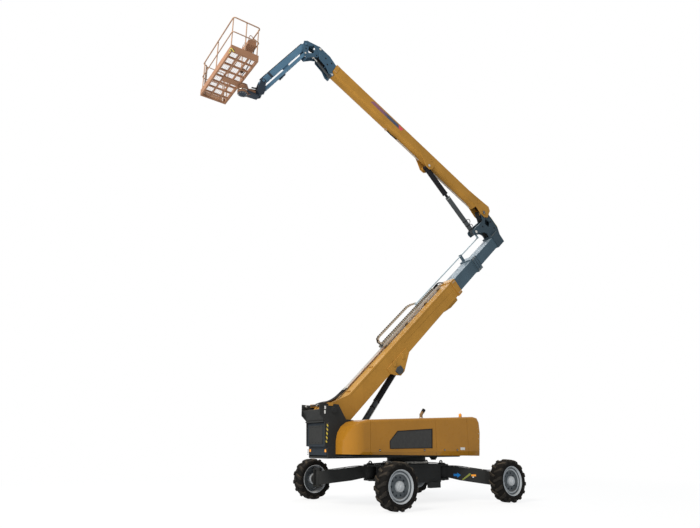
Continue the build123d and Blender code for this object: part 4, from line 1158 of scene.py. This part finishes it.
class BOOMLIFT_OT_drag_chain(bpy.types.Operator):
    """Link up the drag chain along its run, bend and return"""

    bl_idname = "boomlift.drag_chain"
    bl_label = "Drag Chain"

    def execute(self, context):
        bend, radius = (3.120, 0.150), 0.118
        route = [(6.20, bend[1] - radius)]
        route += [(bend[0] + radius * math.cos(math.radians(a)), bend[1] + radius * math.sin(math.radians(a)))
                  for a in range(-90, -271, -15)]
        route += [(4.78, bend[1] + radius), (4.92, 0.245), (5.14, 0.155)]
        curve = bpy.data.curves.new("route", "CURVE")
        curve.dimensions = "3D"
        spline = curve.splines.new("POLY")
        spline.points.add(len(route) - 1)
        for knot, (s, n) in zip(spline.points, route):
            knot.co = (*(LOWER @ Vector((s, 0.214, n))), 1)
        pitch = context.scene.boomlift_sizes.chain_pitch
        chain = Form()
        for slot, shape, finish in ((0, self.side_plates(pitch), "link"),
                                    (1, self.cross_bars(pitch), "soot")):
            chain.slot = slot
            link = new_object("link", shape.mesh())
            chain.add_mesh(grown(new_object("route", curve), "path", Shape=link, Spacing=pitch,
                                 Finish=FINISH[finish]))
            bpy.data.objects.remove(link)
        chain.slot = 1
        chain.place = LOWER
        for y in (0.190, 0.205, 0.222, 0.238):
            chain.line([(6.2, y, 0.030), (4.6, y, 0.028), (3.3, y, 0.030), (3.06, y, 0.060), (3.01, y, 0.150),
                        (3.06, y, 0.240), (3.3, y, 0.270), (4.0, y, 0.268), (4.78, y, 0.268),
                        (5.13, y, 0.160)],
                       0.009, 8)
        chain.piece("drag_chain_links", "lower_base", ("link", "soot"), 0.0,
                    replaces=("drag_chain",))
        return {"FINISHED"}

    def side_plates(self, pitch):
        """A link's two side plates, its x along the chain and z across it."""
        link = Form()
        half = pitch * 0.46
        ring = [(half * math.cos(t), 0.034 * math.sin(t)) for t in [math.pi * k / 8 for k in range(16)]]
        ring = [(max(-half, min(half, x * 1.25)), z) for x, z in ring]
        for y in (-0.044, 0.038):
            link.loft([[(x, y + d, z) for x, z in ring] for d in (0, 0.006)])
        return link

    def cross_bars(self, pitch):
        link = Form()
        for z in (-0.024, 0.024):
            link.box((-pitch * 0.24, -0.040, z - 0.004), (pitch * 0.24, 0.040, z + 0.004))
        link.box((-pitch * 0.52, -0.038, -0.020), (pitch * 0.52, -0.034, 0.020))
        link.disc((pitch * 0.5, 0, 0), 0.011, 0.094, sides=12)
        return link


class BOOMLIFT_OT_upper_boom(bpy.types.Operator):
    """Fit the upper boom with its fading band, pins, seams and lines"""

    bl_idname = "boomlift.upper_boom"
    bl_label = "Upper Boom"

    def execute(self, context):
        fit = Form(UPPER)
        for side in (-1, 1):
            low, high = outward(side, UPPER_WALL - 0.0002, UPPER_WALL + 0.0022)
            fit.slot = 1
            fit.prism([(BAND_FOOT, 0.316), (6.05, 0.316), (6.16, 0.170), (4.63, 0.170)], low, high)
            fit.slot = 2
            fit.disc((3.01, side * 0.190, -0.160), 0.050, 0.014)
            fit.slot = 4
            fit.disc((0.0, side * 0.206, 0.0), 0.068, 0.014)
            fit.slot = 2
            bolt_circle(fit, (0.0, side * 0.212, 0.0), (0, side, 0), 0.044, 4, 0.009)
            fit.slot = 0
            self.weld_ring(fit, (0.43, side * 0.177, 0.235), 0.085)
            self.weld_ring(fit, (3.02, side * 0.177, 0.120), 0.045)
            low, high = outward(side, UPPER_WALL, UPPER_WALL + 0.008)
            fit.box((7.70, low, 0.02), (7.84, high, 0.375))
            fit.slot = 2
            for n in (0.06, 0.34):
                spot = facing(UPPER, (7.73, side * 0.178, n), (0, side, 0))
                step = spot.to_3x3().inverted() @ (UPPER.to_3x3() @ Vector((0.04, 0, 0)))
                bolt_row(fit, spot, (0, 0, 0), tuple(step), 3, 0.007)
        fit.slot = 0
        for s in (1.9, 3.9, 5.4, 6.9):
            fit.box((s, -0.060, 0.374), (s + 0.012, 0.060, 0.380))
        fit.slot = 2
        for y in (-0.060, -0.036):
            fit.line([(0.55, y, -0.120), (0.80, y, -0.085), (2.72, y, -0.075)], 0.009, 8, smooth=False)
            fit.line([(3.40, y, -0.100), (3.60, y, -0.085), (4.56, y, -0.082)], 0.009, 8, smooth=False)
        fit.slot = 3
        fit.line([(4.55, -0.048, -0.084), (4.72, -0.048, -0.100), (4.90, -0.048, -0.110),
                  (5.02, -0.048, -0.085)],
                 0.020, 10)
        fit.slot = 2
        for s in (0.78, 1.4, 2.05, 2.68, 3.62, 4.25):
            fit.box((s, -0.078, -0.094), (s + 0.024, -0.018, -0.048))
        ring = [(5.10 + 0.052 * math.cos(t), -0.048, -0.108 + 0.052 * math.sin(t))
                for t in [2 * math.pi * k / 16 for k in range(17)]]
        fit.line(ring, 0.008, 8)
        fit.slot = 3
        for k, y in enumerate((-0.066, -0.022, 0.022, 0.066)):
            fit.line([(0.42, y, 0.10), (0.20, y, 0.13), (-0.02, y, 0.17 + 0.01 * k), (-0.16, y, 0.10),
                      (-0.20, y, -0.02)], 0.013, 8)
        fit.piece("upper_boom_fittings", "upper_base", ("boom", "plum", "zinc", "hose", "cylinder"),
                  0.0)
        self.head_fittings()
        return {"FINISHED"}

    def weld_ring(self, fit, centre, radius):
        """A round weld bead on a plate."""
        fit.turned([(radius - 0.011, -0.002), (radius, -0.009), (radius + 0.011, -0.002),
                    (radius + 0.011, 0.002), (radius, 0.009), (radius - 0.011, 0.002)], centre, sides=40)

    def head_fittings(self):
        """Pins, hoses and clamps on the inner section's head."""
        head = Form(UPPER)
        for side in (-1, 1):
            head.slot = 0
            head.disc((8.60, side * 0.176, 0.36), 0.046, 0.012)
            head.disc((7.80, side * 0.168, -0.15), 0.038, 0.010)
            head.slot = 1
            for s, n in ((8.02, 0.24), (8.28, 0.22), (8.12, 0.05)):
                head.disc((s, side * 0.1655, n), 0.030, 0.004)
        head.slot = 2
        for k, y in enumerate((-0.10, -0.065, -0.03, 0.03, 0.065, 0.10)):
            head.line([(7.88, y, 0.24), (8.05, y, 0.22), (8.22, y, 0.12 - 0.01 * k), (8.40, y, 0.14),
                       (8.52, y, 0.24)], 0.012, 8)
        head.slot = 3
        head.box((8.10, -0.136, 0.10), (8.13, 0.136, 0.20))
        head.piece("head_fittings", "upper_inner", ("zinc", "soot", "hose", "jib"), 0.0)


class BOOMLIFT_OT_cylinders(bpy.types.Operator):
    """Fit the lift cylinders with glands, straps, ports and pipes"""

    bl_idname = "boomlift.cylinders"
    bl_label = "Lift Cylinders"

    def execute(self, context):
        # the span is from pin to pin at rest; bands and pipe are measured from the barrel's mouth
        for name, span, barrel, radius, bead, bands, pipe in (
                ("lower", 2.857, 1.74, 0.082, 0.012, (0.30, 0.85, 1.40), 0.05),
                ("upper", 3.112, 1.73, 0.090, 0.0015, (1.16, 1.36, 1.54), 1.14)):
            fit = Form(self.axis(name))
            mouth = span - barrel
            fit.disc((mouth + 0.030, 0, 0), radius + bead, 0.06, axis="x", sides=40)
            fit.slot = 1
            fit.disc((mouth + 0.068, 0, 0), radius + bead / 3, 0.012, axis="x", sides=40)
            fit.slot = 2
            for s in bands:
                fit.turned([(radius + 0.001, -0.014), (radius + 0.006, -0.014), (radius + 0.006, 0.014),
                            (radius + 0.001, 0.014)], (mouth + s, 0, 0), axis="x", sides=36)
            fit.slot = 1
            side = radius + 0.016
            fit.line([(mouth + pipe, 0, side), (mouth + pipe + 0.06, 0, side + 0.006),
                      (mouth + 1.36, 0, side + 0.006),
                      (mouth + 1.46, 0, side - 0.01)], 0.010, 8, smooth=False)
            fit.slot = 3
            if name == "upper":
                for s, high in ((1.18, 0.17), (1.40, 0.13)):
                    fit.line([(mouth + s, 0.0, side), (mouth + s + 0.03, 0.0, side + high),
                              (mouth + s + 0.17, 0.0, side + high), (mouth + s + 0.20, 0.0, side)], 0.012, 8)
            fit.piece(name + "_barrel_fittings", name + "_barrel", ("cylinder", "zinc", "soot", "hose"),
                      0.0)
        return {"FINISHED"}

    def axis(self, name):
        """A cylinder's own frame, from its rod eye toward its barrel's foot."""
        return local_frame(at_joint(name + "_cylinder_pivot"), JOINTS[name + "_cylinder_slide"]["axis"],
                           (0, 1, 0))


# ------------------------------------------------------------------ jib and platform
class BOOMLIFT_OT_jib(bpy.types.Operator):
    """Fit the jib and its mount with pins, brackets and hoses"""

    bl_idname = "boomlift.jib"
    bl_label = "Jib"

    def execute(self, context):
        reach = (at_joint("platform_support_level") - at_joint("jib_luff")).length
        beam = Form(JIB)
        for side in (-1, 1):
            for x in (0, reach):
                beam.disc((x, side * 0.152, 0), 0.040, 0.012)
            low, high = outward(side, 0.0638, 0.0668)
            beam.box((0.12, low, -0.080), (0.34, high, 0.080))
            beam.box((reach - 0.38, low, -0.080), (reach - 0.12, high, 0.080))
        beam.slot = 1
        for k, y in enumerate((-0.030, 0.0, 0.030)):
            beam.line([(0.05, y, 0.112), (0.30, y, 0.114), (reach - 0.40, y, 0.114),
                       (reach - 0.05, y, 0.112)],
                      0.011, 8)
        beam.slot = 2
        for x in (0.35, 0.95, 1.55, 2.15):
            beam.box((x, -0.050, 0.097), (x + 0.03, 0.050, 0.128))
        beam.slot = 0
        beam.prism([(1.16, -0.096), (1.44, -0.096), (1.38, -0.185), (1.22, -0.185)], -0.052, 0.052)
        beam.slot = 3
        for side in (-1, 1):
            low, high = outward(side, 0.0636, 0.0662)
            beam.box((reach - 0.50, low, -0.096), (reach - 0.40, high, 0.096))
        beam.piece("jib_fittings", "jib", ("jib", "hose", "zinc", "navy"), 0.002)
        link = Form(JIB)
        link.box((1.62, -0.100, -0.302), (1.80, 0.100, -0.2545))
        link.slot = 1
        for x in (1.66, 1.76):
            for y in (-0.070, 0.070):
                link.disc((x, y, -0.305), 0.010, 0.008, axis="z", sides=10)
        link.piece("jib_link_box", "jib_link", ("navy", "zinc"), 0.004)
        mount = Form()
        rear = at_joint("jib_luff")
        for side in (-1, 1):
            mount.slot = 1
            for dx, dz in ((0.30, 0.06), (0.43, -0.26), (0.02, -0.17)):
                mount.disc((rear.x + dx, side * 0.131, rear.z + dz), 0.026, 0.004)
            mount.slot = 0
            mount.disc((rear.x, side * 0.133, rear.z - 0.36), 0.034, 0.010)
        mount.slot = 2
        for k, y in enumerate((-0.075, -0.045, 0.045, 0.075)):
            mount.line([(rear.x + 0.52, y, rear.z + 0.06), (rear.x + 0.40, y, rear.z - 0.10 - 0.01 * k),
                        (rear.x + 0.22, y, rear.z - 0.16), (rear.x + 0.10, y, rear.z - 0.05),
                        (rear.x + 0.12, y, rear.z + 0.10)], 0.012, 8)
        mount.piece("jib_mount_fittings", "jib_mount", ("zinc", "soot", "hose"), 0.0)
        return {"FINISHED"}


class BOOMLIFT_OT_platform(bpy.types.Operator):
    """Fit the platform with its grating, console, corner marks and hoses"""

    bl_idname = "boomlift.platform"
    bl_label = "Platform"

    def execute(self, context):
        low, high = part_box("platform_floor")
        deck = high.z - 0.150
        x0, x1, y0, y1 = low.x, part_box("platform_rails")[1].x - 0.02, low.y, high.y
        pitch = context.scene.boomlift_sizes.grating_pitch
        grate = Form()
        for reach, width, along, first in (
                ((x1 - x0 - 0.06, 0, 0), y1 - y0, (0, pitch, 0), (x0 + 0.03, y0 + 0.05, deck - 0.003)),
                ((0, y1 - y0 - 0.06, 0), x1 - x0, (pitch, 0, 0), (x0 + 0.05, y0 + 0.03, deck - 0.006))):
            wire = Form()
            wire.rod((0, 0, 0), reach, 0.0022, 6)
            row_of(grate, wire, int((width - 0.08) / pitch), along, Matrix.Translation(first), "platform")
        grate.piece("platform_grating", "platform", ("platform",), 0.0)
        self.console(deck)
        self.marks(x0, y0, deck)
        self.rotator(deck)
        return {"FINISHED"}

    def console(self, deck):
        low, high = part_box("control_box")
        top = Form()
        mid = (low.x + high.x) / 2 - 0.02
        for k in range(2):
            y = low.y + 0.12 + 0.26 * k
            z = high.z - 0.075
            top.rod((mid - 0.02, y, z), (mid - 0.055, y, z + 0.105), 0.007, 10)
            top.disc((mid - 0.060, y, z + 0.120), 0.017, 0.034, axis="z", sides=16)
        top.slot = 1
        for k in range(4):
            top.disc((mid - 0.06, low.y + 0.19 + 0.055 * k, high.z - 0.105), 0.010, 0.020, axis="z", sides=12)
        top.slot = 2
        top.line([(high.x - 0.03, low.y + 0.10, low.z + 0.02), (high.x - 0.05, low.y + 0.11, low.z - 0.16),
                  (high.x - 0.07, low.y + 0.22, low.z - 0.34), (high.x - 0.06, low.y + 0.50, low.z - 0.44),
                  (high.x - 0.08, low.y + 0.86, low.z - 0.50)], 0.013, 8)
        top.slot = 3
        for y in (low.y + 0.03, high.y - 0.03):
            top.line([(high.x - 0.09, y, high.z - 0.01), (mid - 0.02, y, high.z + 0.10),
                      (low.x + 0.03, y, high.z + 0.03), (low.x + 0.02, y, low.z + 0.06)], 0.010, 8)
        top.piece("console_fittings", "platform", ("soot", "amber", "hose", "platform"),
                  0.001)

    def marks(self, x0, y0, deck):
        """A taped corner bumper and the floor switch."""
        marks = Form()
        marks.box((x0 - 0.006, y0, deck - 0.062), (x0 + 0.012, y0 + 0.13, deck + 0.030))
        marks.box((x0 - 0.006, y0 - 0.004, deck - 0.062), (x0 + 0.10, y0 + 0.006, deck + 0.030))
        marks.slot = 1
        marks.box((x0 + 0.55, y0 + 0.62, deck + 0.001), (x0 + 0.69, y0 + 0.80, deck + 0.045))
        marks.piece("platform_marks", "platform", ("hazard", "soot"), 0.001)

    def rotator(self, deck):
        spot = at_joint("platform_rotate")
        fit = Form(Matrix.Translation((spot.x, 0, 0)))
        fit.turned([(0.150, deck - 0.30), (0.168, deck - 0.298), (0.168, deck - 0.276),
                    (0.150, deck - 0.274)],
                   axis="z", sides=48)
        bolt_circle(fit, (0, 0, deck - 0.381), (0, 0, -1), 0.120, 10, 0.010)
        fit.slot = 2
        rear = at_joint("platform_support_level")
        x, z, top = rear.x - spot.x, rear.z, deck - 0.115
        outline = [(x - 0.20, z - 0.545), (x - 0.20, z - 0.405), (0.155, top - 0.018), (0.155, top - 0.232)]
        for side in (-1, 1):
            fit.prism(outline, *outward(side, 0.0405, 0.052))
        fit.turned([(0.1505, top - 0.255), (0.158, top - 0.250), (0.158, top - 0.012), (0.1505, top - 0.006)],
                   axis="z", sides=48)
        fit.slot = 1
        for k, y in enumerate((-0.07, -0.035, 0.035, 0.07)):
            fit.line([(rear.x - spot.x - 0.02, y, rear.z - 0.05),
                      (rear.x - spot.x - 0.10, y, rear.z - 0.22 - 0.02 * k),
                      (rear.x - spot.x - 0.22, y, rear.z - 0.33), (rear.x - spot.x - 0.34, y, rear.z - 0.34)],
                     0.012, 8)
        fit.piece("rotator_fittings", "support", ("zinc", "hose", "platform"), 0.0)


# ------------------------------------------------------------------ stage
FLOOR_HALF = 140
CAMERA_LENS = 27.735
CAMERA_FROM_SLEW = (-11.04, -13.18, 1.511)
CAMERA_UP, CAMERA_TURN = 18.66, -34.359    # degrees over level, degrees from straight ahead
LAMP_TARGET = (0, 0, 6)


class BOOMLIFT_OT_stage(bpy.types.Operator):
    """Lay the pale floor, hang the soft lights and stand the camera"""

    bl_idname = "boomlift.stage"
    bl_label = "Stage"

    def execute(self, context):
        stage = context.scene.boomlift_stage
        mesh = bpy.data.meshes.new("floor")
        s = FLOOR_HALF
        mesh.from_pydata([(-s, -s, 0), (s, -s, 0), (s, s, 0), (-s, s, 0)], [], [(0, 1, 2, 3)])
        floor = new_object("floor", mesh)
        mesh.materials.append(self.pale_floor())
        world = bpy.data.worlds.new("studio")
        context.scene.world = world
        world.use_nodes = True
        nodes, link = world.node_tree.nodes, world.node_tree.links.new
        fill, white = nodes["Background"], nodes.new("ShaderNodeBackground")
        fill.inputs["Color"].default_value = (0.86, 0.93, 1.0, 1)
        fill.inputs["Strength"].default_value = stage.fill
        white.inputs["Color"].default_value = (1, 1, 1, 1)
        path, mix = nodes.new("ShaderNodeLightPath"), nodes.new("ShaderNodeMixShader")
        link(self.seen(nodes, link, path), mix.inputs[0])
        link(fill.outputs[0], mix.inputs[1])
        link(white.outputs[0], mix.inputs[2])
        link(mix.outputs[0], nodes["World Output"].inputs[0])
        # both pale grounds light by bounced rays alone, not as lamps
        context.scene.world.cycles.sampling_method = "NONE"
        self.lamp("key", (-24, -8, 23), LAMP_TARGET, 14, stage.key, (1.0, 0.95, 0.87))
        self.lamp("back", (10, 18, 26), LAMP_TARGET, 16, stage.key * 0.22, (0.9, 0.95, 1.0))
        self.camera()
        context.scene.view_settings.view_transform = "Standard"
        return {"FINISHED"}

    def pale_floor(self):
        """Nearly white ground that keeps the machine's shadow."""
        material = bpy.data.materials.new("pale floor")
        material.use_nodes = True
        nodes, link = material.node_tree.nodes, material.node_tree.links.new
        matt, glow = nodes["Principled BSDF"], nodes.new("ShaderNodeEmission")
        matt.inputs["Base Color"].default_value = (0.92, 0.92, 0.92, 1)
        matt.inputs["Roughness"].default_value = 0.9
        glow.inputs["Strength"].default_value = 1.0
        path, mix = nodes.new("ShaderNodeLightPath"), nodes.new("ShaderNodeMixShader")
        kinds = ("TexCoord", "VectorMath", "MapRange")
        place, reach, far = [nodes.new("ShaderNode" + kind) for kind in kinds]
        reach.operation = "LENGTH"
        link(place.outputs["Object"], reach.inputs[0])
        link(reach.outputs["Value"], far.inputs["Value"])
        for name, value in (("From Min", 7.0), ("From Max", 18.0), ("To Min", 0.84), ("To Max", 1.0)):
            far.inputs[name].default_value = value
        share = nodes.new("ShaderNodeMath")
        share.operation = "MULTIPLY"
        link(far.outputs[0], share.inputs[1])
        link(self.seen(nodes, link, path), share.inputs[0])
        link(share.outputs[0], mix.inputs[0])
        link(matt.outputs[0], mix.inputs[1])
        link(glow.outputs[0], mix.inputs[2])
        link(mix.outputs[0], nodes["Material Output"].inputs[0])
        material.cycles.emission_sampling = "NONE"
        return material

    def seen(self, nodes, link, path):
        """1 for camera rays and for what mirrors or lets through the background."""
        total = path.outputs["Is Camera Ray"]
        for name in ("Is Glossy Ray", "Is Transmission Ray"):
            add = nodes.new("ShaderNodeMath")
            add.use_clamp = True
            link(total, add.inputs[0])
            link(path.outputs[name], add.inputs[1])
            total = add.outputs[0]
        return total

    def lamp(self, name, spot, target, size, power, colour):
        light = bpy.data.lights.new(name, "AREA")
        light.shape = "DISK"
        light.size = size
        light.energy = power
        light.color = colour
        lamp = new_object(name, light)
        lamp.location = spot
        lamp.rotation_euler = (Vector(target) - Vector(spot)).to_track_quat("-Z", "Y").to_euler()

    def camera(self):
        """A low camera looking up at the machine from its rear right."""
        data = bpy.data.cameras.new("camera")
        data.lens = CAMERA_LENS
        data.sensor_width = 36.0
        data.clip_end = 400
        camera = new_object("camera", data)
        camera.location = SLEW + Vector(CAMERA_FROM_SLEW)
        camera.rotation_euler = (math.radians(90 + CAMERA_UP), 0, math.radians(CAMERA_TURN))
        bpy.context.scene.camera = camera


# ------------------------------------------------------------------ panel and run
class BoomLiftPaint(bpy.types.PropertyGroup):
    """Colours of the machine's paint."""

    boom_yellow: FloatVectorProperty(
        name="Boom yellow", description="Paint of the two outer boom sections", subtype="COLOR",
        default=(0.375, 0.186, 0.034), min=0, max=1)
    hood_yellow: FloatVectorProperty(
        name="Hood yellow", description="Paint of the hoods and doors", subtype="COLOR",
        default=(0.335, 0.148, 0.014), min=0, max=1)
    section_slate: FloatVectorProperty(
        name="Section slate", description="Paint of the inner boom sections and elbow", subtype="COLOR",
        default=(0.058, 0.092, 0.118), min=0, max=1)
    jib_slate: FloatVectorProperty(
        name="Jib slate", description="Paint of the jib and its mount", subtype="COLOR",
        default=(0.075, 0.150, 0.225), min=0, max=1)
    platform_brown: FloatVectorProperty(
        name="Platform brown", description="Paint of the platform and its arm", subtype="COLOR",
        default=(0.285, 0.150, 0.088), min=0, max=1)


class BoomLiftSizes(bpy.types.PropertyGroup):
    """Counts and pitches of the repeated fittings."""

    tyre_lugs: IntProperty(name="Tyre lugs", description="Lugs on each side of a tyre", default=14, min=8,
                           max=24)
    wheel_nuts: IntProperty(name="Wheel nuts", description="Nuts round each wheel disc", default=10, min=5,
                            max=16)
    ring_teeth: IntProperty(name="Ring teeth", description="Teeth round the slewing ring", default=96, min=40,
                            max=160)
    chain_pitch: FloatProperty(name="Chain pitch", description="Length of one drag chain link",
                               default=0.096, min=0.03, max=0.2, subtype="DISTANCE", unit="LENGTH")
    grating_pitch: FloatProperty(name="Grating pitch", description="Distance between the floor's wires",
                                 default=0.048, min=0.02, max=0.2, subtype="DISTANCE", unit="LENGTH")


class BoomLiftStage(bpy.types.PropertyGroup):
    """Light on the machine."""

    key: FloatProperty(name="Key light", description="Power of the high main lamp", default=10500, min=0,
                       subtype="POWER", unit="POWER")
    fill: FloatProperty(name="Fill light", description="Strength of the even surrounding light", default=0.55,
                        min=0)


OPERATORS = (
    BOOMLIFT_OT_solids, BOOMLIFT_OT_tyres, BOOMLIFT_OT_rims, BOOMLIFT_OT_axles, BOOMLIFT_OT_chassis,
    BOOMLIFT_OT_turntable, BOOMLIFT_OT_hoods, BOOMLIFT_OT_lower_boom, BOOMLIFT_OT_drag_chain,
    BOOMLIFT_OT_upper_boom, BOOMLIFT_OT_cylinders, BOOMLIFT_OT_jib, BOOMLIFT_OT_platform, BOOMLIFT_OT_stage,
)


class BOOMLIFT_PT_panel(bpy.types.Panel):
    """The steps that dress the boom lift, in order"""

    bl_label = "Boom Lift"
    bl_idname = "BOOMLIFT_PT_panel"
    bl_space_type = "VIEW_3D"
    bl_region_type = "UI"
    bl_category = "Boom Lift"

    def draw(self, context):
        for group in (context.scene.boomlift_paint, context.scene.boomlift_sizes,
                      context.scene.boomlift_stage):
            box = self.layout.box()
            for name in group.__annotations__:
                box.prop(group, name)
        for operator in OPERATORS:
            self.layout.operator(operator.bl_idname)


CLASSES = (BoomLiftPaint, BoomLiftSizes, BoomLiftStage, *OPERATORS, BOOMLIFT_PT_panel)


def register():
    for item in CLASSES:
        bpy.utils.register_class(item)
    bpy.types.Scene.boomlift_paint = PointerProperty(type=BoomLiftPaint)
    bpy.types.Scene.boomlift_sizes = PointerProperty(type=BoomLiftSizes)
    bpy.types.Scene.boomlift_stage = PointerProperty(type=BoomLiftStage)


def unregister():
    for name in ("boomlift_paint", "boomlift_sizes", "boomlift_stage"):
        delattr(bpy.types.Scene, name)
    for item in reversed(CLASSES):
        bpy.utils.unregister_class(item)


def main():
    register()
    for operator in OPERATORS:
        getattr(bpy.ops.boomlift, operator.bl_idname.split(".")[1])()


if __name__ == "__main__":
    main()
